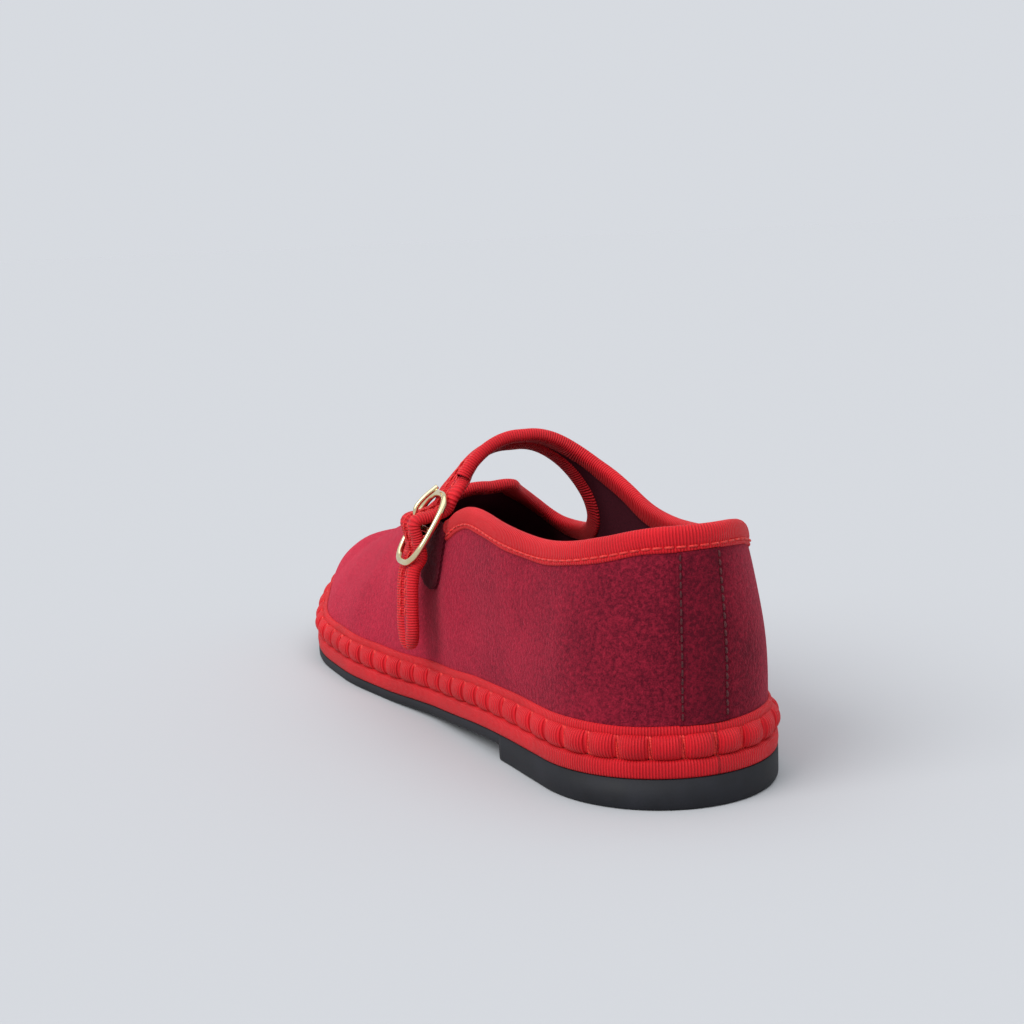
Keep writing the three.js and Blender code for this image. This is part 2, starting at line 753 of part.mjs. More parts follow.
// The oval frame of flat wire, with the bar across its middle
function makeFrame() {
  const insideWidth = strapWidth + 2 * (gap + ribbon) + 2 * frameSide;
  const across = insideWidth / 2 + frameWire / 2;
  const lengthwise = (frameLength - frameWire) / 2;
  const steps = 28;
  const flat = frameFlat;
  const section = [[1, flat], [flat, 1], [-flat, 1], [-1, flat], [-1, -flat], [-flat, -1], [flat, -1], [1, -flat]];
  const sections = [];
  for (let i = 0; i < steps; i += 1) {
    const turn = 2 * Math.PI * i / steps;
    const squared = (value) => Math.sign(value) * Math.abs(value) ** (2 / frameSquare);
    sections.push(section.map(([wide, deep]) => framePoint(
      (across + wide * frameWire / 2) * squared(Math.cos(turn)),
      (lengthwise + wide * frameWire / 2) * squared(Math.sin(turn)),
      deep * frameDepth / 2,
    )));
  }
  return solidOf(ring(sections)).add(rod([[-across, 0, 0], [across, 0, 0]], barRadius, 8));
}
addSolid('buckle_frame', makeFrame(), gold);

// The tongue, from the bar through the strap to the far end of the frame
const tonguePath = [
  [0, 0, barRadius + gap + tongueRadius],
  ...tongueRows.map(({ run, off }) => [0, run, off]),
  [0, -(frameLength + tongueRadius) / 2, frameDepth / 2 + gap + tongueRadius],
];
addSolid('buckle_tongue', rod(tonguePath, tongueRadius), gold);

// The strap's free end: under the frame, over the bar, under the frame and down the quarter
const strapHalf = wall / 2 + gap + ribbon;
const tailEdge = strapWidth / 2 + gap + ribbon;
const underFrame = frameDepth / 2 + gap + strapHalf;
const tailPath = tailRows.map(({ across, run, sunk }) => framePoint(across, run, -sunk * underFrame));
tailPath.push(
  [frameX - tailDrift.middle, tailTip.x - tailDrift.sag, (frameFoot.y + tailTip.y) / 2],
  [frameX - tailDrift.tip, tailTip.x, tailTip.y],
);

// A strip along the strap's free end, with a round tip
function tailStrip(halfWidth, halfDepth, lead = 0) {
  const path = new THREE.CatmullRomCurve3(tailPath.map((p) => new THREE.Vector3(...p)), false, 'centripetal');
  const length = path.getLength();
  const straight = length - tailEdge;
  const steps = 18;
  const tipSteps = 3;
  const rows = [];
  const addRow = (run, half) => {
    const tangent = path.getTangentAt(Math.max(run, 0) / length);
    const middle = path.getPointAt(Math.max(run, 0) / length).addScaledVector(tangent, Math.min(run, 0));
    const off = new THREE.Vector3(0, -tangent.z, tangent.y).normalize();
    const across = new THREE.Vector3().crossVectors(off, tangent).normalize();
    across.multiplyScalar(Math.sign(across.x));
    const turn = frameTurn * Math.min(1, 2 * (1 - run / length));
    const wide = across.clone().multiplyScalar(Math.cos(turn)).addScaledVector(off, -Math.sin(turn));
    const deep = off.clone().multiplyScalar(Math.cos(turn)).addScaledVector(across, Math.sin(turn));
    const corner = (x, o) => middle.clone().addScaledVector(wide, x).addScaledVector(deep, o).toArray();
    rows.push([
      corner(-half, -halfDepth),
      corner(half, -halfDepth),
      corner(half, halfDepth),
      corner(-half, halfDepth),
    ]);
  };
  if (lead > 0) addRow(-lead, halfWidth);
  for (let i = 0; i <= steps; i += 1) addRow(straight * i / steps, halfWidth);
  for (let i = 1; i <= tipSteps; i += 1) {
    const turn = Math.PI / 2 * i / (tipSteps + 0.2);
    addRow(straight + halfWidth * Math.sin(turn), halfWidth * Math.cos(turn));
  }
  const count = 4;
  const faces = [[0, 2, 1], [0, 3, 2]];
  const end = (rows.length - 1) * count;
  for (let a = 0; a < end; a += 1) {
    const b = a % count === count - 1 ? a + 1 - count : a + 1;
    faces.push([a, b, b + count], [a, b + count, a + count]);
  }
  faces.push([end, end + 1, end + 2], [end, end + 2, end + 3]);
  return solidOf(geometryOf(rows.flat(), faces));
}
const pastBand = sidePrism([
  [0, 0],
  [shoeLength, 0],
  [shoeLength, ceiling],
  [0, ceiling],
], strapReach + gap, ballWidth);
const tongueHole = rod([[0, gap, gap]].concat(tonguePath), tongueRadius + 1.9 * gap);
const tailCore = tailStrip(strapWidth / 2, wall / 2).intersect(pastBand).subtract(tongueHole);
addSolid('strap_end', tailCore, velvet);
const tailBinding = tailStrip(tailEdge, strapHalf)
  .subtract(tailStrip(strapWidth / 2 + gap, wall / 2 + gap, 1))
  .subtract(tailStrip(strapSlot / 2, 2 * strapHalf, 1))
  .intersect(pastBand);
addSolid('strap_end_binding', tailBinding, grosgrain);

// The origin lies under the middle of the whole shoe
const box = new THREE.Box3().setFromObject(group);
group.position.set(-(box.min.x + box.max.x) / 2, -(box.min.y + box.max.y) / 2, -box.min.z);

export default group;
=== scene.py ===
"""Looks of a left velvet mary jane shoe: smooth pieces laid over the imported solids."""
import math

import bpy
import numpy as np
from mathutils import Matrix, Vector
from mathutils.bvhtree import BVHTree


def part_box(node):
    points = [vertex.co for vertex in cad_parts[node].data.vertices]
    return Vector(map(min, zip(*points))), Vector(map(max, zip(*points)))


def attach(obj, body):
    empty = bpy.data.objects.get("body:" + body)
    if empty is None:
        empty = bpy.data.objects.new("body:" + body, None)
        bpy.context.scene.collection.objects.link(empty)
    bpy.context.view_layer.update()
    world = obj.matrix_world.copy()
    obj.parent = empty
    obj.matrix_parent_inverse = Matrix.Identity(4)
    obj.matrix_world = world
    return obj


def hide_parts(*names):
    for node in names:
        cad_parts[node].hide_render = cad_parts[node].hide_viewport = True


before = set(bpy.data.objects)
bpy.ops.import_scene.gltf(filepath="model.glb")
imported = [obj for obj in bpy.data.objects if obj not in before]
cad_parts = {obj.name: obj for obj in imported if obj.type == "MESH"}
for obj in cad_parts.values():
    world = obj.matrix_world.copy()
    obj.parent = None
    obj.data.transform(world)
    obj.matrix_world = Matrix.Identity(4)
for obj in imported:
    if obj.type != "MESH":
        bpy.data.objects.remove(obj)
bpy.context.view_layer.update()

# Sizes of the last and the sole, in millimetres; X from the heel's back, Y to the wearer's left
LENGTH = 250.0
BALL = 88.5
INSTEP = 84.0
COLLAR = 70.0
FULLNESS = 1.5
OUTSOLE = 3.0
LIFT = 5.1
LIFT_LENGTH = 63.0
TOE_SPRING = 15.3
BAND = 4.8
ROLL = 6.0
ROLL_INSET = 2.7
ROLL_DEPTH = 1.9
WRAP = 8.7
SELVAGE = 2.0
WALL = 1.6
RIBBON = 0.7
BINDING = 5.5
STRAP = 11.5
STRAP_SLOT = 2.2
STRAP_REACH = 24.0
REAR = 0.447
FRONT = REAR + STRAP / LENGTH
SIDE_BLEND = 6.0
STAY = 16.4
STAY_CENTRE = 2.2
STAY_TOP = 65.5
TAB_START = 0.422
TAB_WIDTH = 15.0
TAB_TOP = 59.0
TAB_HEIGHT = 20.0

# The buckle: its place along the foot, its turn, and its ends and the strap's tip as (y, z)
FRAME_X = 0.452 * LENGTH
FRAME_TURN = 0.07
HEAD = np.array([0.313 * BALL, 0.978 * COLLAR])
FOOT = np.array([0.475 * BALL, 0.673 * COLLAR])
TIP = np.array([0.47 * BALL, 0.32 * COLLAR])
FRAME_LENGTH = 25.0
WIRE = 1.0
BAR = 0.85
TONGUE = 0.72

OUTLINE = np.array([
    # at, centre, half
    [0, -0.002, 0.362], [0.12, -0.001, 0.364], [0.2, 0, 0.37], [0.3, 0.011, 0.373], [0.42, 0.019, 0.381],
    [0.55, 0.018, 0.437], [0.68, 0.006, 0.496], [0.78, -0.002, 0.5], [0.87, -0.025, 0.497],
    [0.94, -0.041, 0.497], [1, -0.079, 0.497],
])
HEEL_ROUND = 0.14
TOE_ROUND = 0.24
UNDER = np.array([
    # at, heel, toe
    [0, 1, 0], [0.27, 0.8, 0], [0.4, 0.38, 0], [0.48, 0.15, 0], [0.57, 0, 0], [0.74, 0, 0],
    [0.8, 0, 0.06], [0.9, 0, 0.36], [1, 0, 1],
])
LAST = np.array([
    # at, ridge, square
    [0, 1.17, 1.7], [0.1, 1.17, 1.85], [0.18, 1.165, 2.15], [0.26, 1.15, 2.7], [0.36, 1.1, 2.5],
    [0.41, 1.03, 2.4], [0.45, 0.99, 2.3], [0.493, 0.942, 2.02], [0.55, 0.776, 1.95], [0.6, 0.72, 1.9],
    [0.66, 0.65, 1.85], [0.72, 0.582, 1.8], [0.78, 0.515, 1.8], [0.85, 0.442, 1.85], [0.92, 0.387, 2.6],
    [1, 0.37, 3.0],
])
SPINE = (0.05, 0.87)
COLLAR_MEDIAL = [
    (-0.1, 1), (0.03, 1), (0.08, 0.948), (0.12, 0.915), (0.16, 0.888), (0.24, 0.848), (0.3, 0.853),
    (0.34, 0.886), (0.375, 0.952), (0.4, 1.005), (0.425, 1.062), (0.439, 1.115), (0.4445, 1.18),
    (REAR, 1.3), (REAR, 1.8),
]
COLLAR_LATERAL = [
    (-0.1, 1), (0.03, 1), (0.08, 0.955), (0.12, 0.923), (0.18, 0.902), (0.26, 0.921), (0.32, 0.938),
    (0.365, 0.935), (0.4, 0.9), (0.43, 0.85), (0.435, 0.94), (0.439, 1.06), (0.4445, 1.19),
    (REAR, 1.3), (REAR, 1.8),
]
THROAT_MEDIAL = [
    (0.548, 1.8), (0.548, 1.2), (0.55, 1), (0.556, 0.93), (0.577, 0.875), (0.594, 0.81), (0.597, 0.75),
    (0.582, 0.712), (0.545, 0.7), (0.51, 0.725), (FRONT - 0.006, 0.79), (FRONT - 0.012, 0.87),
    (FRONT - 0.009, 0.95), (FRONT - 0.005, 1.03), (FRONT - 0.001, 1.1), (FRONT, 1.2), (FRONT, 1.8),
]
THROAT_LATERAL = [
    (0.548, 1.8), (0.548, 1.2), (0.55, 1), (0.557, 0.93), (0.564, 0.87), (0.568, 0.82), (0.567, 0.77),
    (0.557, 0.735), (0.538, 0.726), (0.512, 0.738), (FRONT - 0.007, 0.77), (FRONT - 0.011, 0.83),
    (FRONT - 0.01, 0.93), (FRONT - 0.006, 1.03), (FRONT - 0.001, 1.1), (FRONT, 1.2), (FRONT, 1.8),
]
UNDER_STRAP = [(0.425, 1.8), (0.425, 0.86), (0.45, 0.8), (0.48, 0.72), (0.5, 0.68), (0.5, 1.8)]


def along(rows, column, at):
    """Smooth value of one column of a table, without overshoot between rows."""
    ats, values = rows[:, 0], rows[:, column]
    secant = np.diff(values) / np.diff(ats)
    slope = np.zeros(len(ats))
    slope[0], slope[-1] = secant[0], secant[-1]
    for k in range(1, len(ats) - 1):
        before, after = secant[k - 1], secant[k]
        slope[k] = 0 if before * after <= 0 else 2 * before * after / (before + after)
    at = np.clip(at, ats[0], ats[-1])
    i = np.clip(np.searchsorted(ats, at) - 1, 0, len(ats) - 2)
    span = ats[i + 1] - ats[i]
    t = (at - ats[i]) / span
    rise = t * t * (3 - 2 * t)
    bend = slope[i] * t * (1 - t) ** 2 - slope[i + 1] * t * t * (1 - t)
    return values[i] * (1 - rise) + values[i + 1] * rise + span * bend


def underside(x):
    return LIFT * along(UNDER, 1, x / LENGTH) + TOE_SPRING * along(UNDER, 2, x / LENGTH)


def rubber_top(x):
    return underside(x) + OUTSOLE


def band_top(x):
    return rubber_top(x) + BAND


def roll_top(x):
    return band_top(x) + ROLL


def stations(count):
    return (1 - np.cos(np.pi * np.arange(count + 1) / count)) / 2


def outline_loop(count, inset=0.0):
    """The closed outline from the heel along the lateral side, with its outward directions."""
    at = stations(count)
    heel = np.maximum(0, 1 - at / HEEL_ROUND)
    toe = np.maximum(0, (at - 1 + TOE_ROUND) / TOE_ROUND)
    cap = np.sqrt(np.maximum(0, 1 - heel**2)) * np.sqrt(np.maximum(0, 1 - toe**2))
    centre = BALL * along(OUTLINE, 1, at)
    half = BALL * along(OUTLINE, 2, at) * cap
    lateral = np.stack([at * LENGTH, centre + half], 1)[:-1]
    medial = np.stack([at * LENGTH, centre - half], 1)[:0:-1]
    loop = np.concatenate([lateral, medial])
    run = np.roll(loop, -1, 0) - np.roll(loop, 1, 0)
    run /= np.linalg.norm(run, axis=1)[:, None]
    out = np.stack([-run[:, 1], run[:, 0]], 1)
    return loop - out * inset, out


def even_loop(count, inset=0.0):
    """The outline at equal steps: points, outward directions and arc lengths."""
    loop, out = outline_loop(900, inset)
    closed = np.concatenate([loop, loop[:1]])
    turned = np.concatenate([out, out[:1]])
    steps = np.linalg.norm(np.diff(closed, axis=0), axis=1)
    run = np.concatenate([[0], np.cumsum(steps)])
    want = run[-1] * np.arange(count) / count
    points = np.stack([np.interp(want, run, closed[:, k]) for k in range(2)], 1)
    outs = np.stack([np.interp(want, run, turned[:, k]) for k in range(2)], 1)
    outs /= np.linalg.norm(outs, axis=1)[:, None]
    return points, outs, want, run[-1]


# The shift from these coordinates to the row frame
RIM, _ = outline_loop(400)
LOW, HIGH = (np.array(c) * 1000 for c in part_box("outsole"))
SHIFT = np.array([LOW[0], (LOW[1] + HIGH[1] - RIM[:, 1].min() - RIM[:, 1].max()) / 2, 0.0])


def to_row(points):
    """From these millimetres to the row frame's metres."""
    return (np.asarray(points, float) + SHIFT) / 1000


# Materials
def srgb(r, g, b):
    values = [c / 255 for c in (r, g, b)]
    return tuple(c / 12.92 if c <= 0.04045 else ((c + 0.055) / 1.055) ** 2.4 for c in values)


class Nodes:
    """A short way to wire one procedural material."""

    def __init__(self, name):
        self.material = bpy.data.materials.new(name)
        self.material.use_nodes = True
        self.tree = self.material.node_tree
        self.shader = self.tree.nodes["Principled BSDF"]

    def node(self, kind, **values):
        made = self.tree.nodes.new(kind)
        for key, value in values.items():
            if key in made.inputs:
                self.put(made.inputs[key], value)
            else:
                setattr(made, key, value)
        return made

    def put(self, socket, value):
        if isinstance(value, bpy.types.NodeSocket):
            self.tree.links.new(value, socket)
        else:
            socket.default_value = value

    def set(self, **values):
        for key, value in values.items():
            self.put(self.shader.inputs[key.replace("_", " ")], value)

    def coords(self, kind="Object"):
        return self.node("ShaderNodeTexCoord").outputs[kind]

    def noise(self, scale, detail=2.0, rough=0.5, vector=None):
        made = self.node("ShaderNodeTexNoise")
        made.inputs["Scale"].default_value = scale
        made.inputs["Detail"].default_value = detail
        made.inputs["Roughness"].default_value = rough
        self.put(made.inputs["Vector"], vector or self.coords())
        return made.outputs["Fac"]

    def ramp(self, value, stops):
        made = self.node("ShaderNodeValToRGB")
        self.put(made.inputs["Fac"], value)
        ramp = made.color_ramp
        while len(ramp.elements) < len(stops):
            ramp.elements.new(0.5)
        for element, (at, colour) in zip(ramp.elements, stops):
            element.position = at
            element.color = (*colour, 1) if len(colour) == 3 else colour
        return made.outputs["Color"]

    def math(self, operation, a, b=0.0):
        made = self.node("ShaderNodeMath", operation=operation)
        self.put(made.inputs[0], a)
        self.put(made.inputs[1], b)
        return made.outputs[0]

    def mix(self, factor, a, b):
        made = self.node("ShaderNodeMix", data_type="RGBA")
        self.put(made.inputs[0], factor)
        self.put(made.inputs[6], a if not isinstance(a, tuple) else (*a, 1))
        self.put(made.inputs[7], b if not isinstance(b, tuple) else (*b, 1))
        return made.outputs[2]

    def bump(self, height, strength, distance, normal=None):
        made = self.node("ShaderNodeBump")
        made.inputs["Strength"].default_value = strength
        made.inputs["Distance"].default_value = distance
        self.put(made.inputs["Height"], height)
        if normal is not None:
            self.put(made.inputs["Normal"], normal)
        return made.outputs["Normal"]


def velvet(name, deep, lit, sheen, tint, weight):
    m = Nodes(name)
    patch = m.noise(36, 5, 0.62)
    fleck = m.noise(950, 3, 0.7)
    nap = m.noise(2600, 2, 0.6)
    length = m.node("ShaderNodeSeparateXYZ", Vector=m.coords())
    tone = m.math("ADD", m.math("MULTIPLY", patch, 0.28), m.math("MULTIPLY", nap, 0.25))
    tone = m.math("ADD", tone, m.math("MULTIPLY", fleck, 0.45))
    # Painted shade: the X term darkens the velvet towards the heel; patch, nap and fleck are random tone.
    tone = m.math("ADD", tone, m.math("MULTIPLY", length.outputs["X"], 1.3))
    colour = m.ramp(tone, [(0.26, deep), (0.64, lit)])
    normal = m.bump(nap, 0.5, 0.0002)
    normal = m.bump(fleck, 0.75, 0.0006, normal)
    m.set(Base_Color=colour, Roughness=0.88, Normal=normal)
    m.set(Specular_IOR_Level=0.15, Sheen_Weight=weight, Sheen_Roughness=sheen, Sheen_Tint=(*tint, 1))
    return m.material


def grosgrain(name, deep, lit, pitch):
    """Ribbed ribbon: the ribs run across, so they are spaced along U, in metres."""
    m = Nodes(name)
    uv = m.node("ShaderNodeSeparateXYZ", Vector=m.coords("UV"))
    rib = m.math("SINE", m.math("MULTIPLY", uv.outputs["X"], 2 * math.pi / pitch))
    shine = m.noise(55, 2, 0.5)
    grain = m.noise(3200, 2, 0.6)
    # Colour: the ribs darken their grooves (painted shade), the shine noise lightens patches (painted sheen),
    # the grain is random tone.
    tone = m.math("ADD", m.math("MULTIPLY", rib, 0.12), m.math("MULTIPLY", shine, 0.5))
    tone = m.math("ADD", tone, m.math("MULTIPLY", grain, 0.4))
    colour = m.ramp(tone, [(0.15, deep), (0.62, lit)])
    normal = m.bump(rib, 0.75, 0.00022)
    normal = m.bump(grain, 0.3, 0.0002, normal)
    m.set(Base_Color=colour, Roughness=0.62, Normal=normal)
    m.set(Specular_IOR_Level=0.25, Sheen_Weight=0.12, Sheen_Roughness=0.4, Sheen_Tint=(1.0, 0.35, 0.3, 1))
    return m.material


def thread_material(name, deep, lit):
    m = Nodes(name)
    uv = m.node("ShaderNodeSeparateXYZ", Vector=m.coords("UV"))
    twist = m.math("SINE", m.math("MULTIPLY", m.math("ADD", uv.outputs["X"], uv.outputs["Y"]), 9000))
    colour = m.ramp(m.noise(1800, 2), [(0.3, deep), (0.7, lit)])
    m.set(Base_Color=colour, Roughness=0.55, Normal=m.bump(twist, 0.5, 0.0001))
    m.set(Specular_IOR_Level=0.4, Sheen_Weight=0.3, Sheen_Tint=(1.0, 0.4, 0.35, 1))
    return m.material


def rubber_material():
    m = Nodes("rubber")
    grain = m.noise(2400, 3, 0.6)
    cloud = m.noise(90, 4, 0.6)
    colour = m.ramp(cloud, [(0.3, srgb(14, 15, 19)), (0.7, srgb(28, 29, 35))])
    uv = m.node("ShaderNodeSeparateXYZ", Vector=m.coords("UV"))
    # Painted shade: a row of dark dots stands for the shade in the small notches along the sole's edge.
    dots = m.math("GREATER_THAN", m.math("SINE", m.math("MULTIPLY", uv.outputs["X"], 2700)), -0.2)
    level = m.math("ABSOLUTE", m.math("SUBTRACT", uv.outputs["Y"], 0.0023))
    notch_shade = m.math("MULTIPLY", dots, m.math("LESS_THAN", level, 0.00018))
    colour = m.mix(notch_shade, colour, srgb(8, 8, 10))
    rough = m.math("ADD", m.math("MULTIPLY", cloud, 0.25), 0.5)
    m.set(Base_Color=colour, Roughness=rough, Normal=m.bump(grain, 0.25, 0.00015))
    m.set(Specular_IOR_Level=0.3)
    return m.material


def lining_material():
    m = Nodes("lining")
    nap = m.noise(2200, 2, 0.6)
    colour = m.ramp(nap, [(0.3, srgb(34, 6, 14)), (0.7, srgb(62, 12, 24))])
    m.set(Base_Color=colour, Roughness=0.9, Normal=m.bump(nap, 0.4, 0.0002))
    m.set(Specular_IOR_Level=0.1, Sheen_Weight=0.25, Sheen_Roughness=0.5, Sheen_Tint=(0.5, 0.1, 0.15, 1))
    return m.material


def gold_material():
    m = Nodes("gold")
    scratch = m.noise(900, 4, 0.7)
    colour = m.ramp(m.noise(120, 2), [(0.3, srgb(214, 196, 150)), (0.7, srgb(236, 221, 180))])
    rough = m.math("ADD", m.math("MULTIPLY", scratch, 0.16), 0.12)
    m.set(Base_Color=colour, Roughness=rough, Metallic=1.0, Normal=m.bump(scratch, 0.12, 0.00005))
    return m.material


VELVET = velvet("velvet", srgb(84, 6, 26), srgb(184, 36, 60), 0.35, srgb(236, 96, 116), 0.6)
# The strip over the back seam gets a darker copy of the velvet: painted shade on the heel's back.
STAY_VELVET = velvet("velvet_stay", srgb(78, 5, 24), srgb(168, 28, 52), 0.35, srgb(206, 78, 98), 0.5)
# The tab is a dark copy of the velvet: painted shade under the strap's free end.
TAB_VELVET_SHADED = velvet("velvet_tab_shaded", srgb(62, 4, 18), srgb(96, 10, 30), 0.4, srgb(170, 50, 70), 0.35)
GROSGRAIN = grosgrain("grosgrain", srgb(158, 4, 16), srgb(220, 20, 34), 0.00078)
THREAD = thread_material("thread", srgb(190, 18, 26), srgb(236, 52, 44))
DARK_THREAD = thread_material("thread_dark", srgb(48, 2, 12), srgb(84, 8, 24))
RUBBER = rubber_material()
LINING = lining_material()
GOLD = gold_material()


# Meshes
def add_mesh(name, points, faces, material, stands_for=(), uv=None):
    """A smooth piece on the root body, without the points that no face uses."""
    used = np.unique(np.concatenate([np.asarray(f, int) for f in faces]))
    place = {int(v): k for k, v in enumerate(used)}
    points = to_row(points)[used]
    mesh = bpy.data.meshes.new(name)
    mesh.from_pydata(points.tolist(), [], [tuple(place[int(v)] for v in f) for f in faces])
    if uv is not None:
        uv = np.asarray(uv, float)[used]
        layer = mesh.uv_layers.new(name="UVMap")
        corners = np.zeros(len(mesh.loops), int)
        mesh.loops.foreach_get("vertex_index", corners)
        layer.data.foreach_set("uv", uv[corners].ravel())
    mesh.shade_smooth()
    mesh.validate()
    made = bpy.data.objects.new(name, mesh)
    bpy.context.scene.collection.objects.link(made)
    mesh.materials.append(material)
    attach(made, "root")
    if stands_for:
        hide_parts(*stands_for)
    return made


def grid_faces(rows, columns, wrap=False, flip=False):
    """Quads of a grid of rows by columns, wrapping round the columns if asked."""
    faces = []
    last = columns if wrap else columns - 1
    for j in range(rows - 1):
        for i in range(last):
            n = (i + 1) % columns
            quad = (j * columns + i, j * columns + n, (j + 1) * columns + n, (j + 1) * columns + i)
            faces.append(quad[::-1] if flip else quad)
    return faces


def unit(v):
    v = np.asarray(v, float)
    return v / np.maximum(np.linalg.norm(v, axis=-1, keepdims=True), 1e-9)


def run_of(path):
    """Arc length along a path, from its start."""
    steps = np.linalg.norm(np.diff(path, axis=0), axis=1)
    return np.concatenate([[0], np.cumsum(steps)])


def resample(path, step):
    """The path at steps that are as even and as near to the asked one as its length lets."""
    path = np.asarray(path, float)
    run = run_of(path)
    count = max(2, int(round(run[-1] / step)) + 1)
    want = np.linspace(0, run[-1], count)
    return np.stack([np.interp(want, run, path[:, k]) for k in range(3)], 1)


def smooth_path(path, passes=3):
    """The path with its corners evened out, its ends kept."""
    path = np.array(path)
    for _ in range(passes):
        path[1:-1] = (path[:-2] + 2 * path[1:-1] + path[2:]) / 4
    return path


def tube(path, radius, sides=8, caps=True):
    """Points, faces and UVs of a round thread or wire along a path."""
    path = np.asarray(path, float)
    ahead = unit(np.gradient(path, axis=0))
    side = np.cross(ahead[0], [0.31, 0.42, 0.85])
    points, uvs = [], []
    run = run_of(path)
    radii = np.broadcast_to(radius, len(path))
    for k, at in enumerate(path):
        side = side - ahead[k] * side.dot(ahead[k])
        side = side / np.linalg.norm(side)
        other = np.cross(ahead[k], side)
        for j in range(sides):
            turn = 2 * np.pi * j / sides
            points.append(at + radii[k] * (side * np.cos(turn) + other * np.sin(turn)))
            uvs.append((run[k] / 1000, j / sides / 1000))
    faces = []
    for k in range(len(path) - 1):
        for j in range(sides):
            n = (j + 1) % sides
            faces.append((k * sides + j, k * sides + n, (k + 1) * sides + n, (k + 1) * sides + j))
    if caps:
        faces.append(tuple(range(sides))[::-1])
        faces.append(tuple((len(path) - 1) * sides + j for j in range(sides)))
    return points, faces, uvs


class Batch:
    """Many small meshes gathered in one piece."""

    def __init__(self):
        self.points, self.faces, self.uvs = [], [], []

    def add(self, part):
        base = len(self.points)
        self.points.extend(part[0])
        self.faces.extend(tuple(v + base for v in f) for f in part[1])
        self.uvs.extend(part[2])

    def build(self, name, material, stands_for=()):
        return add_mesh(name, self.points, self.faces, material, stands_for, self.uvs)


STITCH_RADII = np.array([0.7, 1, 1.08, 1, 0.7])


def stitch(a, b, off, radius=0.28):
    """One stitch: a short thread that dives at both ends, off being the way out of the cloth."""
    ahead = (b - a) * 0.06
    low, high = off * 0.35, off * 0.1
    middle = (a + b) / 2 + off * radius * 0.9
    path = [a - low, a + high + ahead, middle, b + high - ahead, b - low]
    return tube(path, radius * STITCH_RADII, 6, caps=False)


# The last's skin
COLUMNS = 480
LEVELS = 76
SKIRT = 1.5


def skin_grid():
    """Points of the skin, in rows from under the roll's top up to the ridge."""
    count = COLUMNS // 2
    feather, out = outline_loop(count, ROLL_INSET)
    share = stations(count)
    at = SPINE[0] + (SPINE[1] - SPINE[0]) * share
    spine = np.stack([at * LENGTH, BALL * along(OUTLINE, 1, at), INSTEP * along(LAST, 1, at)], 1)
    index = np.minimum(np.arange(COLUMNS), COLUMNS - np.arange(COLUMNS))
    top = spine[index]
    toe_end = SPINE[1] * LENGTH
    fall = (INSTEP / LENGTH / 0.01) * (along(LAST, 1, SPINE[1]) - along(LAST, 1, SPINE[1] - 0.01))
    base = band_top(feather[:, 0])
    power = 2 / along(LAST, 2, feather[:, 0] / LENGTH)
    rows = [np.stack([feather[:, 0], feather[:, 1], base - SKIRT], 1)]
    for j in range(LEVELS):
        turn = np.pi / 2 * j / (LEVELS - 1)
        up = np.sin(turn) ** power
        inward = 1 - np.cos(turn) ** power
        swell = FULLNESS * 4 * up * (1 - up) * (top[:, 2] - base) / INSTEP
        x = feather[:, 0] + (top[:, 0] - feather[:, 0]) * inward + out[:, 0] * swell
        y = feather[:, 1] + (top[:, 1] - feather[:, 1]) * inward + out[:, 1] * swell
        z = base + (top[:, 2] - base) * up + fall * up**4 * np.maximum(0, x - toe_end)
        rows.append(np.stack([x, y, z], 1))
    return np.array(rows)


def grid_normals(grid):
    """Outward normals of the skin's points, the same on both sides of the ridge."""
    around = np.roll(grid, -1, 1) - np.roll(grid, 1, 1)
    up = np.gradient(grid, axis=0)
    normal = np.cross(up, around)
    length = np.linalg.norm(normal, axis=2, keepdims=True)
    normal = np.where(length > 1e-6, normal / np.maximum(length, 1e-9), 0)
    mirror = (COLUMNS - np.arange(COLUMNS)) % COLUMNS
    top = normal[-2] + normal[-2][mirror]
    normal[-1] = unit(top)
    outward = np.sign((normal[20] * (grid[20] - grid[20].mean(0))).sum())
    return normal * outward


def segment_distance(points, a, b):
    share = ((points - a) @ (b - a)) / max((b - a) @ (b - a), 1e-9)
    nearest = a + np.clip(share, 0, 1)[:, None] * (b - a)
    return np.linalg.norm(points - nearest, axis=1)


# Soft troughs (negative) and ridges in the lateral and medial cloth: (x, z) line, width, depth
CREASES = [
    (1, [(112, 44), (115, 32), (116, 22)], 5.0, -0.9),
    (1, [(122, 40), (128, 30), (131, 22)], 6.0, 0.5),
    (1, [(100, 42), (99, 30), (97, 22)], 7.0, 0.35),
    (1, [(66, 24), (74, 22), (84, 20.5)], 2.6, -0.35),
    (1, [(40, 40), (60, 34), (80, 36)], 12.0, -0.5),
    (-1, [(118, 44), (124, 32), (126, 22)], 6.0, -0.6),
    (-1, [(60, 40), (80, 32), (98, 34)], 12.0, -0.4),
    (1, [(168, 40), (178, 34), (190, 24)], 7.0, -0.35),
    (-1, [(166, 40), (176, 32), (186, 22)], 7.0, -0.4),
]


def creased(grid, normal):
    """The skin with its creases and a slight wave, both fading out above the roll."""
    flat = grid.reshape(-1, 3)
    move = np.zeros(len(flat))
    for side, line, width, depth in CREASES:
        away = np.full(len(flat), 1e9)
        for a, b in zip(line, line[1:]):
            away = np.minimum(away, segment_distance(flat[:, [0, 2]], np.array(a, float), np.array(b, float)))
        here = 1 / (1 + np.exp(-side * (flat[:, 1] - 4 * side) / 3))
        move += depth * np.exp(-((away / width) ** 2)) * here
    wave = np.sin(flat[:, 0] * 0.11 + flat[:, 2] * 0.07) * np.sin(flat[:, 2] * 0.13 - flat[:, 0] * 0.05 + 1.1)
    move += 0.22 * wave
    low = np.clip((flat[:, 2] - roll_top(flat[:, 0]) - 1) / 8, 0, 1)
    return grid + normal * (move * low).reshape(grid.shape[:2])[..., None]


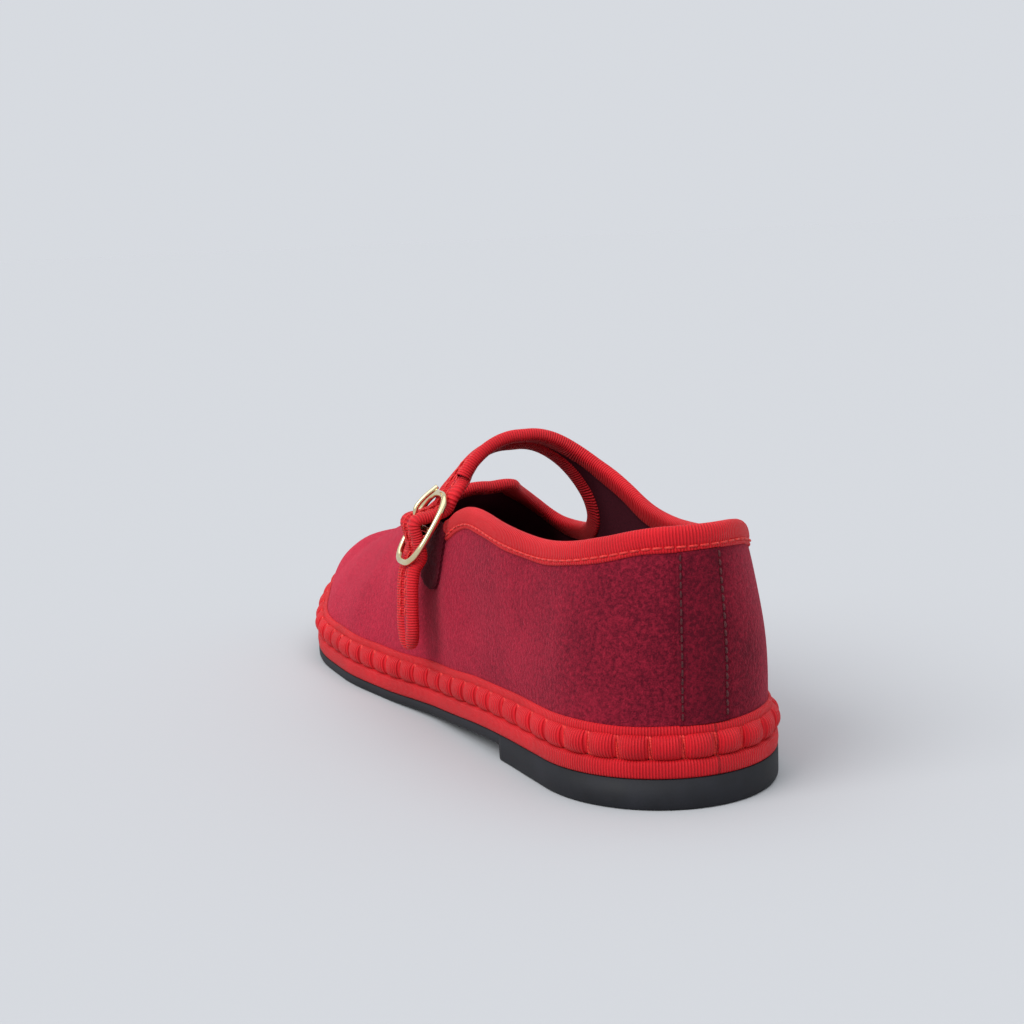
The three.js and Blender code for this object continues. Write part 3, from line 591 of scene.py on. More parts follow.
GRID = skin_grid()
NORMAL = grid_normals(GRID)
GRID = creased(GRID, NORMAL)
NORMAL = grid_normals(GRID)
FLAT = GRID.reshape(-1, 3)
FLAT_NORMAL = NORMAL.reshape(-1, 3)
SKIN_FACES = grid_faces(len(GRID), COLUMNS, wrap=True)
RIDGE = (len(GRID) - 1) * COLUMNS
SKIN_FACES = [tuple(min(v, 2 * RIDGE + COLUMNS - v) if v > RIDGE else v for v in f) for f in SKIN_FACES]
SKIN_FACES = [f for f in SKIN_FACES if len(set(f)) == 4] + [
    tuple(dict.fromkeys(f)) for f in SKIN_FACES if len(set(f)) == 3]
TREE = BVHTree.FromPolygons(FLAT.tolist(), SKIN_FACES)


def on_skin(points, off=0.0):
    """The nearest skin points, moved off the skin, and the normals there."""
    points = np.atleast_2d(points)
    offs = np.broadcast_to(off, len(points))
    spots, normals = [], []
    for p, o in zip(points, offs):
        spot, _, face, _ = TREE.find_nearest(Vector(p))
        corners = list(SKIN_FACES[face])
        spot = np.array(spot)
        weight = 1 / (np.linalg.norm(FLAT[corners] - spot, axis=1) ** 2 + 0.02)
        n = unit((FLAT_NORMAL[corners] * weight[:, None]).sum(0))
        spots.append(spot + n * o)
        normals.append(n)
    return np.array(spots), np.array(normals)


# Openings
def spline(nodes, steps=8):
    """Centripetal spline through the nodes of an opening's edge, in side view."""
    points = [np.array([a * LENGTH, u * COLLAR]) for a, u in nodes]
    line = []
    for i in range(len(points) - 1):
        p1, p2 = points[i], points[i + 1]
        p0 = points[i - 1] if i else 2 * p1 - p2
        p3 = points[i + 2] if i + 2 < len(points) else 2 * p2 - p1
        d0, d1, d2 = (np.linalg.norm(q - p) ** 0.5 for p, q in ((p0, p1), (p1, p2), (p2, p3)))
        d1 = max(d1, 1e-4)
        d0, d2 = (d if d > 1e-4 else d1 for d in (d0, d2))
        t1 = ((p1 - p0) / d0 - (p2 - p0) / (d0 + d1) + (p2 - p1) / d1) * d1
        t2 = ((p2 - p1) / d1 - (p3 - p1) / (d1 + d2) + (p3 - p2) / d2) * d1
        for k in range(steps):
            t = k / steps
            a, b, c, d = p1, t1, -3 * p1 + 3 * p2 - 2 * t1 - t2, 2 * p1 - 2 * p2 + t1 + t2
            line.append(a + b * t + c * t * t + d * t**3)
    line.append(points[-1])
    return np.array(line)


def signed_field(points, outline):
    """Distance to a closed side-view outline, below zero inside it."""
    away = np.full(len(points), 1e9)
    inside = np.zeros(len(points), bool)
    for a, b in zip(outline, np.roll(outline, -1, 0)):
        away = np.minimum(away, segment_distance(points, a, b))
        crosses = (a[1] > points[:, 1]) != (b[1] > points[:, 1])
        rise = b[1] - a[1] if abs(b[1] - a[1]) > 1e-9 else 1e-9
        at = a[0] + (points[:, 1] - a[1]) / rise * (b[0] - a[0])
        inside ^= crosses & (points[:, 0] < at)
    return np.where(inside, -away, away)


def opening_field(medial, lateral, lid=()):
    """Below zero inside an opening, blended from its medial to its lateral outline."""
    flat = FLAT[:, [0, 2]]
    fields = []
    for rows in (medial, lateral):
        line = spline(rows)
        if len(lid):
            line = np.concatenate([line, lid])
        fields.append(signed_field(flat, line))
    blend = np.clip((FLAT[:, 1] + SIDE_BLEND) / (2 * SIDE_BLEND), 0, 1)
    return (fields[0] * (1 - blend) + fields[1] * blend).reshape(GRID.shape[:2])


TALL = 3 * COLLAR
COLLAR_FIELD = opening_field(
    COLLAR_MEDIAL, COLLAR_LATERAL, np.array([[REAR * LENGTH, TALL], [-0.1 * LENGTH, TALL]])
)
THROAT_FIELD = opening_field(THROAT_MEDIAL, THROAT_LATERAL)
UNDER_FIELD = np.maximum(
    signed_field(FLAT[:, [0, 2]], np.array(UNDER_STRAP) * [LENGTH, COLLAR]), STRAP_REACH - FLAT[:, 1]
).reshape(GRID.shape[:2])


def contours(field):
    """Lines on the skin where a field is zero, each an array of points."""
    links = {}
    rows, columns = field.shape

    def crossing(a, b):
        fa, fb = field[a], field[b]
        t = fa / (fa - fb)
        return GRID[a] * (1 - t) + GRID[b] * t

    def key(p):
        return tuple(np.round(p, 3))

    spots = {}
    for j in range(rows - 1):
        row = np.sign(field[j : j + 2])
        mixed = np.nonzero((row.min(0) < 0) | (np.roll(row.min(0), -1) < 0))[0]
        for i in mixed:
            n = (i + 1) % columns
            ring = [(j, i), (j, n), (j + 1, n), (j + 1, i)]
            hits = []
            for a, b in zip(ring, ring[1:] + ring[:1]):
                if (field[a] < 0) != (field[b] < 0):
                    p = crossing(a, b)
                    spots[key(p)] = p
                    hits.append(key(p))
            if len(hits) == 2 and hits[0] != hits[1]:
                links.setdefault(hits[0], []).append(hits[1])
                links.setdefault(hits[1], []).append(hits[0])
    lines = []
    while links:
        start = next((k for k, v in links.items() if len(v) == 1), next(iter(links)))
        line = [start]
        while True:
            here = line[-1]
            others = links.get(here)
            if not others:
                links.pop(here, None)
                break
            there = others.pop()
            if there in links and here in links[there]:
                links[there].remove(here)
            if not links[here]:
                links.pop(here)
            line.append(there)
            if there == start:
                links.pop(there, None)
                break
        lines.append(np.array([spots[k] for k in line]))
    return sorted(lines, key=len, reverse=True)


def keep_faces(margin):
    """The skin's faces that lie outside every opening."""
    open_here = (COLLAR_FIELD < margin) | (THROAT_FIELD < margin) | (UNDER_FIELD < 0)
    flat = open_here.ravel()
    return [f for f in SKIN_FACES if not any(flat[v] for v in f)]


CUT_MARGIN = 0.15
KEPT = keep_faces(CUT_MARGIN)
SKIN_UV = FLAT[:, [0, 2]] / 1000
add_mesh("velvet_upper", FLAT, [f[::-1] for f in KEPT], VELVET, ("upper",), SKIN_UV)
add_mesh("lining_upper", FLAT - FLAT_NORMAL * WALL, KEPT, LINING, (), SKIN_UV)


# Bindings
def side_frame(path, field):
    """Directions along the path, off the skin and into the cloth, where the opening's field grows."""
    ahead = unit(np.gradient(path, axis=0))
    _, normal = on_skin(path)
    normal = unit(smooth_path(normal, 6))
    into = unit(np.cross(normal, ahead))
    flat = field.ravel()
    vote = 0.0
    for spot, way in zip(path[::20], into[::20]):
        for hand in (-1, 1):
            face = TREE.find_nearest(Vector(spot + hand * 2.5 * way))[2]
            vote += hand * flat[SKIN_FACES[face][0]]
    return ahead, normal, into * np.sign(vote)


FOLD = [
    # into the cloth, off the skin
    (BINDING + 0.1, -0.3), (BINDING, 0.35), (BINDING - 0.35, 0.62), (BINDING - 0.9, 0.55),
    (BINDING - 1.3, 0.42), (BINDING - 1.8, 0.72), (3.0, 0.95), (2.0, 1.08), (1.0, 1.12), (0.2, 1.0),
    (-0.5, 0.62), (-0.9, 0.0), (-1.0, -0.8), (-0.9, -1.6), (-0.5, -2.2), (0.2, -2.6), (1.2, -2.7),
    (3.0, -2.6), (BINDING - 1.5, -2.3), (BINDING - 0.4, -2.3), (BINDING, -1.9), (BINDING + 0.1, -1.2),
]


def folded_ribbon(name, path, field, stands_for=()):
    """A ribbon folded over a raw edge."""
    _, normal, into = side_frame(path, field)
    run = run_of(path)
    rows = []
    for depth, off in FOLD:
        if depth > 0.3:
            wander = 0.12 * np.sin(run * 0.31 + depth) * (depth / BINDING) ** 2
            spot, n = on_skin(path + into * (depth + wander)[:, None])
            rows.append(spot + n * off)
        else:
            rows.append(path + into * depth + normal * off)
    grid = np.array(rows)
    across = np.cumsum([0] + [np.hypot(*(np.subtract(b, a))) for a, b in zip(FOLD, FOLD[1:])])
    uv = [(r / 1000, a / 1000) for a in across for r in run]
    faces = grid_faces(len(FOLD), len(path))
    a, b, c = (grid.reshape(-1, 3)[v] for v in faces[7 * (len(path) - 1) + len(path) // 2][:3])
    if np.cross(b - a, c - a) @ normal[len(path) // 2] < 0:
        faces = [f[::-1] for f in faces]
    add_mesh(name, grid.reshape(-1, 3), faces, GROSGRAIN, stands_for, uv)
    return into


STITCHES = Batch()
STITCH_PITCH = 2.9
STITCH_LENGTH = 2.3


def stitches_along(line, normals, off=0.0):
    """A stitch at each pitch along a line, raised off it."""
    run = run_of(line)
    for k in range(int(run[-1] // STITCH_PITCH)):
        start = k * STITCH_PITCH
        n = normals[np.searchsorted(run, start)]
        a, b = (np.array([np.interp(reach, run, line[:, i]) for i in range(3)])
                for reach in (start, start + STITCH_LENGTH))
        STITCHES.add(stitch(a + n * off, b + n * off, n))


def stitch_row(path, into, depth, off):
    """Stitches along a path, a distance into the cloth from it."""
    line, normal = on_skin(path + into * depth)
    line = smooth_path(line, 2)
    stitches_along(line, np.roll(normal, 1, axis=0), off)


def rotate_to(loop, spot):
    """The closed loop with its start moved to the point nearest to a spot."""
    k = int(np.argmin(np.linalg.norm(loop - spot, axis=1)))
    return np.concatenate([loop[k:], loop[:k]])


def cut_short(path, past):
    """The path up to where it comes back to the strap's free end."""
    back = [k for k in range(len(path) // 2, len(path)) if past(*path[k])]
    return path[: back[0]] if back else path


# Each binding starts at the strap's free end and runs round its opening
COLLAR_START = np.array([107.5, 28, 59.5])
THROAT_START = np.array([121, 26, 68])
PATH_STEP = 0.6
PATH_PASSES = 8
SEAM = BINDING - 1.25
SEAM_OFF = 0.55

collar = rotate_to(contours(COLLAR_FIELD)[0][:-1], COLLAR_START)
if collar[len(collar) // 8][0] > 100:
    collar = np.concatenate([collar[:1], collar[:0:-1]])
collar = smooth_path(resample(collar, PATH_STEP), PATH_PASSES)
collar = cut_short(collar, lambda x, y, z: y > STRAP_REACH - 1.2 and x > 90)
throat = rotate_to(contours(THROAT_FIELD)[0][:-1], THROAT_START)
if throat[len(throat) // 12][2] < throat[0][2]:
    throat = np.concatenate([throat[:1], throat[:0:-1]])
throat = smooth_path(resample(throat, PATH_STEP), PATH_PASSES)
throat = cut_short(throat, lambda x, y, z: x < 121 and y > 20)

COLLAR_IN = folded_ribbon("binding_collar", collar, COLLAR_FIELD, ("collar_binding",))
THROAT_IN = folded_ribbon("binding_throat", throat, THROAT_FIELD, ("throat_binding",))
stitch_row(collar, COLLAR_IN, SEAM, SEAM_OFF)
stitch_row(throat, THROAT_IN, SEAM, SEAM_OFF)


# The sole
def plate(name, edges, material, stands_for, count=240):
    """A plate that follows the outline; each edge gives its inset and its height."""
    rows = []
    for inset, height in edges:
        loop, _ = outline_loop(count, inset)
        rows.append(np.column_stack([loop, height(loop[:, 0])]))
    points = np.concatenate(rows)
    columns = 2 * count
    run = run_of(np.concatenate([rows[0], rows[0][:1]]))[:-1] / 1000
    uv = np.array([(r, j * 0.001) for j in range(len(rows)) for r in run])
    faces = grid_faces(len(rows), columns, wrap=True, flip=True)
    top = (len(rows) - 1) * columns
    for k in range(count):
        a, b, c, d = k, k + 1, columns - k - 1, (columns - k) % columns
        quad = tuple(dict.fromkeys((a, b, c, d)))
        if len(quad) > 2:
            faces.append(quad)
            faces.append(tuple(top + v for v in quad[::-1]))
    return add_mesh(name, points, faces, material, stands_for, uv)


EASE = 0.7
plate("sole_rubber", [
    (EASE * 1.3, lambda x: underside(x) + 0.02),
    (EASE * 0.45, lambda x: underside(x) + EASE * 0.3),
    (0.05, lambda x: underside(x) + EASE),
    (0.0, lambda x: underside(x) + OUTSOLE * 0.5),
    (0.05, lambda x: rubber_top(x) - 0.1),
    (0.4, lambda x: rubber_top(x) + 0.05),
], RUBBER, ("outsole",))
plate("band_ribbon", [
    (0.9, lambda x: rubber_top(x) + 0.05),
    (0.25, lambda x: rubber_top(x) + 0.25),
    (0.0, lambda x: rubber_top(x) + 0.8),
    (-0.15, lambda x: rubber_top(x) + BAND * 0.5),
    (0.0, lambda x: band_top(x) - 0.9),
    (0.3, lambda x: band_top(x) - 0.3),
    (1.2, lambda x: band_top(x) + 0.05),
], GROSGRAIN, ("midsole",))
INSOLE_INSET = ROLL_INSET + WALL + 0.3
plate("footbed", [
    (INSOLE_INSET, lambda x: band_top(x) + 0.3),
    (INSOLE_INSET, lambda x: band_top(x) + 2.6),
    (INSOLE_INSET + 0.4, lambda x: band_top(x) + 3.15),
    (INSOLE_INSET + 1.4, lambda x: band_top(x) + 3.3),
], LINING, ("insole",))


LIFT_EDGES = [
    # inset, height, cut back at the breast
    (0.9, 0.0, 0.8), (0.3, 0.22, 0.3), (0.05, 0.7, 0), (-0.03, 1.6, 0), (-0.04, 8.0, 0), (0.5, 8.1, 0),
]
LIFT_COLUMNS = 160
CLEAR_OF_NOTCHES = 0.01


def heel_lift():
    """The low lift, cut straight across at its breast, its wall run up over the sole's edge."""
    edges = []
    for inset, level, cut in LIFT_EDGES:
        loop, _ = outline_loop(300, inset)
        breast = LIFT_LENGTH - cut
        kept = loop[loop[:, 0] <= breast]
        kept = kept[np.argsort(np.arctan2(-kept[:, 1], 30 - kept[:, 0]))]
        kept = resample(np.column_stack([kept, np.zeros(len(kept))]), 1.0)[:, :2]
        front = [[breast, kept[-1][1]], [breast, kept[0][1]]]
        ring = np.concatenate([kept[kept[:, 0] < breast - 0.01], front])
        closed = np.concatenate([ring, ring[:1]])
        run = run_of(closed)
        want = run[-1] * np.linspace(0, 1, LIFT_COLUMNS, endpoint=False)
        ring = np.stack([np.interp(want, run, closed[:, k]) for k in range(2)], 1)
        height = np.minimum(level, rubber_top(ring[:, 0]) - 0.12 + 0.02 * inset)
        edges.append(np.column_stack([ring, height]))
    points = np.concatenate(edges)
    faces = grid_faces(len(edges), LIFT_COLUMNS, wrap=True)
    faces.append(tuple(range(LIFT_COLUMNS))[::-1])
    faces.append(tuple((len(edges) - 1) * LIFT_COLUMNS + v for v in range(LIFT_COLUMNS)))
    uv = points[:, [0, 2]] / 1000 + CLEAR_OF_NOTCHES
    add_mesh("heel_rubber", points, faces, RUBBER, ("heel_lift",), uv)


heel_lift()


# The padded roll and the threads that draw it in
PER_WRAP = 12
ROLL_SIDES = 20
ROLL_TUCK = 2.4
ROLL_SWEEP = 1.12
PINCH_WIDTH = 0.8
PINCH_DEPTH = 1.7
PUFF = 0.308
THREAD_RADIUS = 0.37
THREAD_SHIFT = 0.4
THREAD_LEAN = 1.1


def roll_grid():
    """The roll's points in sections, its UVs, and the loop that it follows."""
    wraps = int(round(even_loop(400)[3] / WRAP))
    points, outs, run, total = even_loop(wraps * PER_WRAP)
    pitch = total / wraps
    phase = (run % pitch) / pitch
    away = np.minimum(phase, 1 - phase) * pitch
    pinch = np.exp(-((away / PINCH_WIDTH) ** 2))
    puff = -PUFF * np.cos(np.pi * np.clip(away / (pitch / 2), 0, 1))
    wobble = 0.1 * np.sin(run * 0.37) + 0.08 * np.sin(run * 0.83 + 1)
    half = ROLL / 2 + 0.25 - 0.5 * pinch
    deep = ROLL_DEPTH + 0.4 + puff - PINCH_DEPTH * pinch + wobble
    grid, uv = [], []
    for i, (point, out) in enumerate(zip(points, outs)):
        for j in range(ROLL_SIDES):
            turn = np.pi * (j / (ROLL_SIDES - 1) - 0.5) * ROLL_SWEEP
            spot = point + out * (deep[i] * np.cos(turn) - ROLL_DEPTH + 0.1)
            z = float(band_top(np.clip(spot[0], 0, LENGTH))) + 0.15 + ROLL / 2 + half[i] * np.sin(turn)
            if j == ROLL_SIDES - 1:
                spot = spot - out * ROLL_TUCK
                z += 0.5
            grid.append((spot[0], spot[1], z))
            uv.append((run[i] / 1000, j * 0.0006))
    return np.array(grid), uv, points, outs


def roll_and_threads():
    """The roll, drawn in by a double thread at each wrap."""
    grid, uv, points, outs = roll_grid()
    count = len(points)
    faces = grid_faces(count + 1, ROLL_SIDES)
    faces = [tuple(v % (count * ROLL_SIDES) for v in f) for f in faces]
    roll = add_mesh("roll_ribbon", grid, faces, GROSGRAIN, ("rand_roll",), uv)
    grid = grid.reshape(count, ROLL_SIDES, 3)
    threads = Batch()
    for i in range(0, count, PER_WRAP):
        ahead = unit(np.append(points[(i + 1) % count] - points[i - 1], 0))
        out = np.append(outs[i], 0)
        for shift in (-THREAD_SHIFT, THREAD_SHIFT):
            path = []
            for j in range(1, ROLL_SIDES - 1):
                turn = j / (ROLL_SIDES - 1) - 0.5
                lift = out * np.cos(turn * np.pi) + np.array([0, 0, np.sin(turn * np.pi)])
                path.append(grid[i, j] + lift * 0.18 + ahead * (shift + THREAD_LEAN * turn))
            threads.add(tube(path, THREAD_RADIUS, 7, caps=False))
    threads.build("roll_threads", THREAD)


roll_and_threads()


SELVAGE_EDGE = [
    # up from the roll's top, off the skin
    (-0.9, 0.3), (-0.2, 0.75), (0.3, 1.05), (1.0, 1.0), (1.8, 0.85), (2.25, 0.6), (2.35, 0.1),
]


def selvage():
    """The ribbon's edge that stands against the velvet above the roll."""
    loop, out, run, _ = even_loop(900, ROLL_INSET)
    beyond = np.maximum(out[:, 0], 0) * ROLL_INSET
    foot = np.column_stack([loop, roll_top(np.clip(loop[:, 0] + beyond, 0, LENGTH))])
    around = np.column_stack([-out[:, 1], out[:, 0], np.zeros(len(out))])
    wander = 0.1 * np.sin(run * 0.21)
    base, normal = on_skin(foot)
    rise = unit(np.cross(normal, around))
    rise *= np.sign(rise[:, 2])[:, None]
    rows = []
    for up, off in SELVAGE_EDGE:
        spot, n = on_skin(base + rise * (up + wander)[:, None])
        rows.append(spot + n * off)
    uv = [(r / 1000, j * 0.0005) for j in range(len(rows)) for r in run]
    faces = grid_faces(len(rows), len(loop), wrap=True, flip=True)
    add_mesh("selvage_ribbon", np.concatenate(rows), faces, GROSGRAIN, ("rand_selvage",), uv)


selvage()


# The strip over the back seam
STAY_EDGE = [
    # in from the strip's edge, off the skin
    (-0.5, -0.2), (0, 0.35), (0.5, 0.95), (1.3, 0.4), (2.2, 0.78),
]
STAY_CROWN = (STAY / 2, 0.85)


def back_stay():
    """The strip with its raised edges, and the dark seam along each."""
    half = STAY / 2
    heights = np.linspace(roll_top(0) + SELVAGE + 0.4, STAY_TOP, 60)

    def upright(y):
        return np.column_stack([np.full(60, -2.0), np.full(60, STAY_CENTRE + y), heights])

    left = STAY_EDGE + [STAY_CROWN]
    profile = [(inward - half, off) for inward, off in left]
    profile += [(half - inward, off) for inward, off in STAY_EDGE[::-1]]
    grid = np.concatenate([on_skin(upright(y), off)[0] for y, off in profile])
    uv = [(y / 1000, z / 1000) for y, _ in profile for z in heights]
    faces = grid_faces(len(profile), len(heights))
    add_mesh("stay_velvet", grid, faces, STAY_VELVET, ("back_stay",), uv)
    seams = Batch()
    for side in (-1, 1):
        spot, n = on_skin(upright(side * (half - 1.1)))
        for k in range(2, len(spot) - 3, 3):
            seams.add(stitch(spot[k] + n[k] * 0.5, spot[k + 2] + n[k + 2] * 0.5, n[k]))
    seams.build("stay_stitches", DARK_THREAD)


back_stay()

# The buckle and the strap's free end
FRAME_RUN = unit(FOOT - HEAD)
FRAME_OFF = np.array([-FRAME_RUN[1], FRAME_RUN[0]])
FRAME_MID = (HEAD + FOOT) / 2
FRAME_ROUND = 0.72
TONGUE_PATH = [
    # along and off the buckle's plane, from the bar to the head
    (0, 1.9), (-4, 4.8), (-8.5, 3.8), (-FRAME_LENGTH / 2 - 0.4, 1.9),
]


def frame_point(x, run, off):
    """A point given across, along and off the buckle's plane."""
    across = x * math.cos(FRAME_TURN) + off * math.sin(FRAME_TURN)
    away = off * math.cos(FRAME_TURN) - x * math.sin(FRAME_TURN)
    y, z = FRAME_MID + FRAME_RUN * run + FRAME_OFF * away
    return np.array([FRAME_X + across, y, z])


def buckle():
    """The oval ring with its bar, and the tongue over the strap."""
    across = STRAP / 2 + 0.3 + RIBBON + 1.6 + WIRE
    lengthwise = FRAME_LENGTH / 2 - WIRE
    ring = []
    for turn in np.linspace(0, 2 * np.pi, 121):
        wide, long = (np.sign(v) * abs(v) ** FRAME_ROUND for v in (np.cos(turn), np.sin(turn)))
        ring.append(frame_point(across * wide, lengthwise * long, 0.0))
    metal = Batch()
    metal.add(tube(ring, WIRE * 0.95, 14, caps=False))
    metal.add(tube([frame_point(x, 0, 0) for x in np.linspace(-across, across, 12)], BAR, 12))
    metal.build("buckle_ring", GOLD, ("buckle_frame",))
    path = resample([frame_point(0, run, off) for run, off in TONGUE_PATH], 0.5)
    pin = Batch()
    pin.add(tube(resample(smooth_path(path, 10), 0.6), TONGUE, 10))
    pin.build("buckle_pin", GOLD, ("buckle_tongue",))


buckle()
STRAP_HALF = WALL / 2 + 0.3 + RIBBON
UNDER_FRAME = BAR + 0.3 + STRAP_HALF
TAIL = [
    # across, along, and how far under the buckle's plane as a share
    (0.5, -12, 0.95), (0.3, -7.6, 0.93), (0.1, -3.9, -0.07), (0, 0, -1.24), (-0.1, 3.9, -0.07),
    (-0.3, 7.6, 0.96), (-0.6, 12.5, 1),
]
TAIL_FOLD = [
    # share of the ribbon's width, rise from the strap's middle
    (0.0, 0.75), (0.05, 1.15), (0.2, 1.55), (0.45, 1.85), (0.72, 1.8), (0.9, 1.35), (0.985, 0.6),
    (1.0, 0.0), (0.985, -0.6), (0.9, -1.2), (0.7, -1.5), (0.4, -1.5), (0.2, -1.35), (0.0, -0.9),
]
TAIL_EDGE = STRAP / 2 + 0.3 + RIBBON
SLOT_HALF = STRAP_SLOT / 2
SLOT_END = 5.2
SLOT_FADE = 0.8
CORE_HALF = SLOT_HALF + 0.6
CORE = [
    # across, rise
    (-CORE_HALF, 0.75), (-SLOT_HALF * 0.6, 0.95), (0, 1.0), (SLOT_HALF * 0.6, 0.95), (CORE_HALF, 0.75),
    (CORE_HALF, -0.9), (-CORE_HALF, -0.9), (-CORE_HALF, 0.75),
]


def catmull(points, step=0.5):
    """A centripetal curve through the points, at even steps."""
    points = np.array(points)
    ends = np.concatenate([[2 * points[0] - points[1]], points, [2 * points[-1] - points[-2]]])
    line = []
    for i in range(1, len(ends) - 2):
        p0, p1, p2, p3 = ends[i - 1 : i + 3]
        d0, d1, d2 = (max(np.linalg.norm(q - p), 1e-6) ** 0.5 for p, q in ((p0, p1), (p1, p2), (p2, p3)))
        t1 = ((p1 - p0) / d0 - (p2 - p0) / (d0 + d1) + (p2 - p1) / d1) * d1
        t2 = ((p2 - p1) / d1 - (p3 - p1) / (d1 + d2) + (p3 - p2) / d2) * d1
        for t in np.linspace(0, 1, 16, endpoint=False):
            line.append(p1 + t1 * t + (-3 * p1 + 3 * p2 - 2 * t1 - t2) * t * t
                        + (2 * p1 - 2 * p2 + t1 + t2) * t**3)
    line.append(points[-1])
    return resample(line, step)


def tail_path():
    """The free end's middle line from the instep to the tip, and its directions."""
    band, off_band = on_skin(np.array([[117.3, 17.0, 75.0], [116.6, 21.5, 71.5]]))
    nodes = list(band - off_band * 0.7)
    nodes += [frame_point(a, r, -s * UNDER_FRAME) for a, r, s in TAIL]
    nodes.append(np.array([FRAME_X - 2, TIP[0] - 0.6, (FOOT[1] + TIP[1]) / 2]))
    nodes.append(np.array([FRAME_X - 3.4, TIP[0], TIP[1]]))
    path = catmull(nodes)
    ahead = unit(np.gradient(path, axis=0))
    off = unit(np.column_stack([np.zeros(len(path)), -ahead[:, 2], ahead[:, 1]]))
    side = unit(np.cross(ahead, off))
    side *= np.sign(side[:, 0])[:, None]
    run = run_of(path)
    turn = FRAME_TURN * np.minimum(1, 2 * (1 - run / run[-1]))[:, None]
    side, off = side * np.cos(turn) - off * np.sin(turn), off * np.cos(turn) + side * np.sin(turn)
    return path, side, off, run


def slot_half(left, wide):
    """Half width of the velvet that shows between the ribbon's edges; it closes before the tip."""
    if left > SLOT_END + SLOT_FADE:
        return min(SLOT_HALF, wide * 0.6)
    return SLOT_HALF * max(0, (left - SLOT_END) / SLOT_FADE)


def strap_end():
    """The strap's free end: ribbon folded over both edges, velvet between, two rows of stitches."""
    path, side, off, run = tail_path()
    left = run[-1] - run
    taper = np.sqrt(np.maximum(0.0, 1 - np.maximum(0.0, 1 - left / TAIL_EDGE) ** 2))
    widths = np.maximum(TAIL_EDGE * taper * np.interp(run, [0, 11], [0.8, 1]), 0.05)
    thins = (0.35 + 0.65 * np.minimum(1, taper * 1.3)) * np.interp(run, [0, 9], [0.62, 1])
    slots = np.array([slot_half(rest, wide) for rest, wide in zip(left, widths)])
    ribbon = Batch()
    for hand in (-1, 1):
        grid, uv = [], []
        for share, rise in TAIL_FOLD:
            reach = (slots + (widths - slots) * share)[:, None]
            grid.extend(path + side * hand * reach + off * rise * thins[:, None])
            uv.extend((r / 1000, share * 0.006) for r in run)
        ribbon.add((grid, grid_faces(len(TAIL_FOLD), len(path), flip=hand > 0), uv))
    ribbon.build("binding_strap_end", GROSGRAIN, ("strap_end_binding",))
    keep = left > 4.5
    grid = np.concatenate([path[keep] + side[keep] * x + off[keep] * rise for x, rise in CORE])
    uv = [(r / 1000, j * 0.001) for j in range(len(CORE)) for r in run[keep]]
    faces = grid_faces(len(CORE), int(keep.sum()))
    add_mesh("strap_end_velvet", grid, faces, VELVET, ("strap_end",), uv)
    for hand in (-1, 1):
        line = (path + side * hand * (SLOT_HALF + 1.1) + off * 1.5)[left > 7]
        stitches_along(line, off)


strap_end()
TAB_ROWS = 44
TAB_COLUMNS = 34
TOOTH = 0.9
TEETH_PER_MM = 0.55


def buckle_tab():
    """The velvet tab with its toothed edge."""
    radius = TAB_WIDTH / 2
    middle = TAB_START * LENGTH + radius
    bottom = TAB_TOP - TAB_HEIGHT
    grid = []
    for j in range(TAB_ROWS):
        z = TAB_TOP - TAB_HEIGHT * j / (TAB_ROWS - 1)
        low = z - bottom
        half = radius if low > radius else math.sqrt(max(0.0, radius**2 - (radius - low) ** 2))
        tooth = TOOTH * abs(((z * TEETH_PER_MM) % 1) - 0.5) * 2
        reach = half + (tooth if half == radius else tooth * 0.6)
        for i in range(TAB_COLUMNS):
            grid.append((middle + reach * (2 * i / (TAB_COLUMNS - 1) - 1), 60.0, z))
    uv = [(x / 1000, z / 1000) for x, _, z in grid]
    hits = [TREE.ray_cast(Vector((x, 70.0, z)), Vector((0, -1, 0)))[0] for x, _, z in grid]
    spots, normals = on_skin(np.array([hit or p for hit, p in zip(hits, grid)]))
    count = len(grid)
    edge = np.abs(2 * (np.arange(count) % TAB_COLUMNS) / (TAB_COLUMNS - 1) - 1)
    upper = spots + normals * (1.15 - 0.35 * edge**6)[:, None]
    points = np.concatenate([upper, spots + normals * 0.1])
    faces = grid_faces(TAB_ROWS, TAB_COLUMNS)
    under = [tuple(v + count for v in f[::-1]) for f in faces]
    cells = np.arange(count).reshape(TAB_ROWS, TAB_COLUMNS)
    rim = np.concatenate([cells[0], cells[1:, -1], cells[-1, -2::-1], cells[-2:0:-1, 0]]).tolist()
    wall = [(a, b, b + count, a + count) for a, b in zip(rim, rim[1:] + rim[:1])]
    add_mesh("tab_velvet", points, faces + under + wall, TAB_VELVET_SHADED, ("buckle_tab",), uv * 2)


buckle_tab()
STITCHES.build("stitches", THREAD)

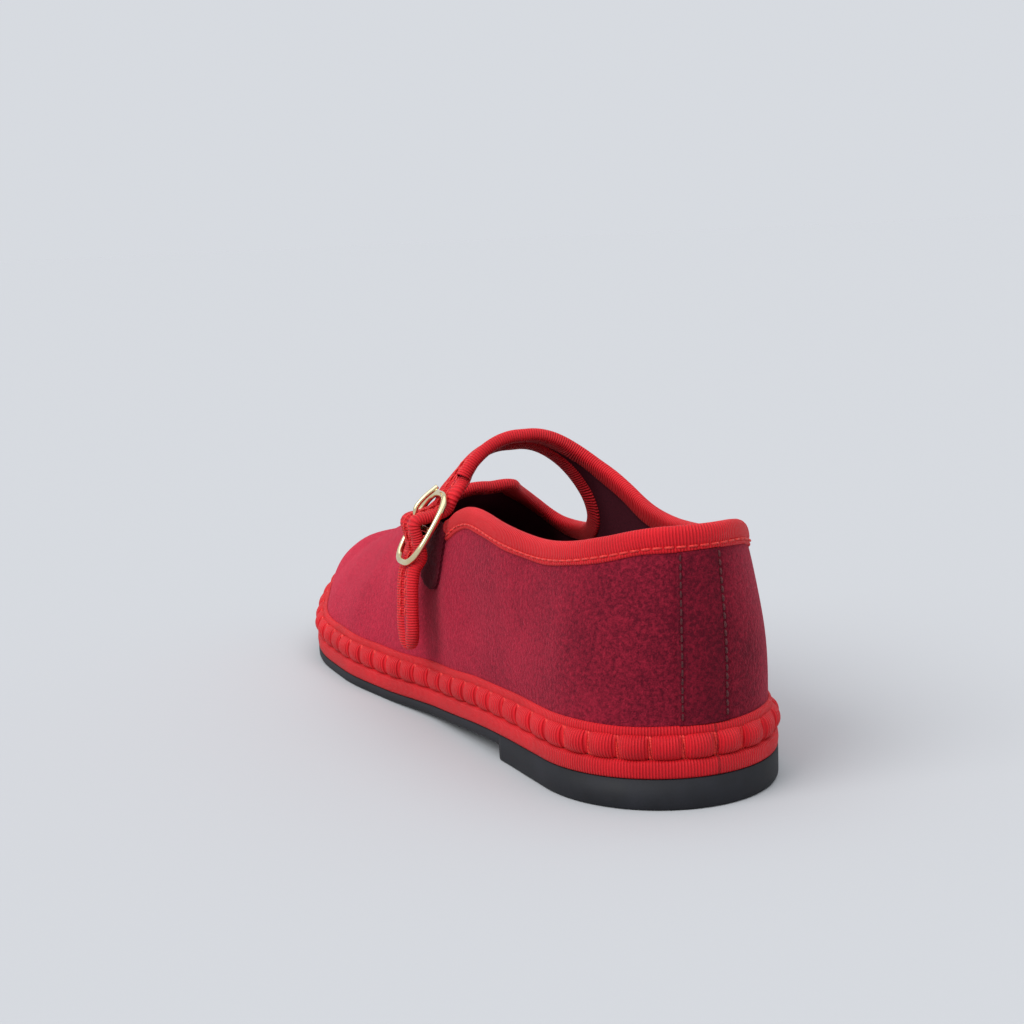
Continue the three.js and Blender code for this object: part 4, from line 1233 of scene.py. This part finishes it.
# Stage, light and camera
floor_mesh = bpy.data.meshes.new("floor")
floor_mesh.from_pydata([(-9, -9, 0), (9, -9, 0), (9, 9, 0), (-9, 9, 0)], [], [(0, 1, 2, 3)])
floor = bpy.data.objects.new("floor", floor_mesh)
bpy.context.scene.collection.objects.link(floor)
stone = Nodes("floor")
stone.set(Base_Color=(0.466, 0.475, 0.4895, 1), Roughness=0.9, Specular_IOR_Level=0.0)
floor_mesh.materials.append(stone.material)

bpy.context.scene.view_settings.view_transform = "Standard"
world = bpy.data.worlds.new("studio")
bpy.context.scene.world = world
world.use_nodes = True
world.node_tree.nodes["Background"].inputs["Color"].default_value = (0.80, 0.83, 0.88, 1)
world.node_tree.nodes["Background"].inputs["Strength"].default_value = 0.85


def sun(name, spot, strength, spread):
    light = bpy.data.lights.new(name, "SUN")
    light.energy = strength
    light.angle = math.radians(spread)
    made = bpy.data.objects.new(name, light)
    made.rotation_euler = (-Vector(spot)).to_track_quat("-Z", "Y").to_euler()
    bpy.context.scene.collection.objects.link(made)


sun("key", (-0.35, 1.5, 1.3), 1.7, 40)
sun("top", (-0.2, 0.1, 2.0), 1.35, 80)

# The photograph's camera: turn in degrees, place in millimetres, focal length in picture widths
CAMERA_TURN = (22.46, 9.52, -2.28)
CAMERA_PLACE = (-377.2, 208.5, 148.5)
FOCAL_WIDTHS = 1788.1 / 1024
SENSOR = 36

yaw, pitch, roll = (math.radians(a) for a in CAMERA_TURN)
ahead = Vector((math.cos(pitch) * math.cos(yaw), -math.cos(pitch) * math.sin(yaw), -math.sin(pitch)))
right = Vector((-math.sin(yaw), -math.cos(yaw), 0))
upward = right.cross(ahead)
right, upward = (
    math.cos(roll) * right + math.sin(roll) * upward,
    -math.sin(roll) * right + math.cos(roll) * upward,
)
camera_data = bpy.data.cameras.new("camera")
camera_data.sensor_width = SENSOR
camera_data.lens = FOCAL_WIDTHS * SENSOR
camera_data.clip_end = 50
camera = bpy.data.objects.new("camera", camera_data)
place = Vector(to_row(CAMERA_PLACE).tolist())
camera.matrix_world = Matrix.Translation(place) @ Matrix([right, upward, -ahead]).transposed().to_4x4()
bpy.context.scene.collection.objects.link(camera)
bpy.context.scene.camera = camera

bpy.context.view_layer.update()
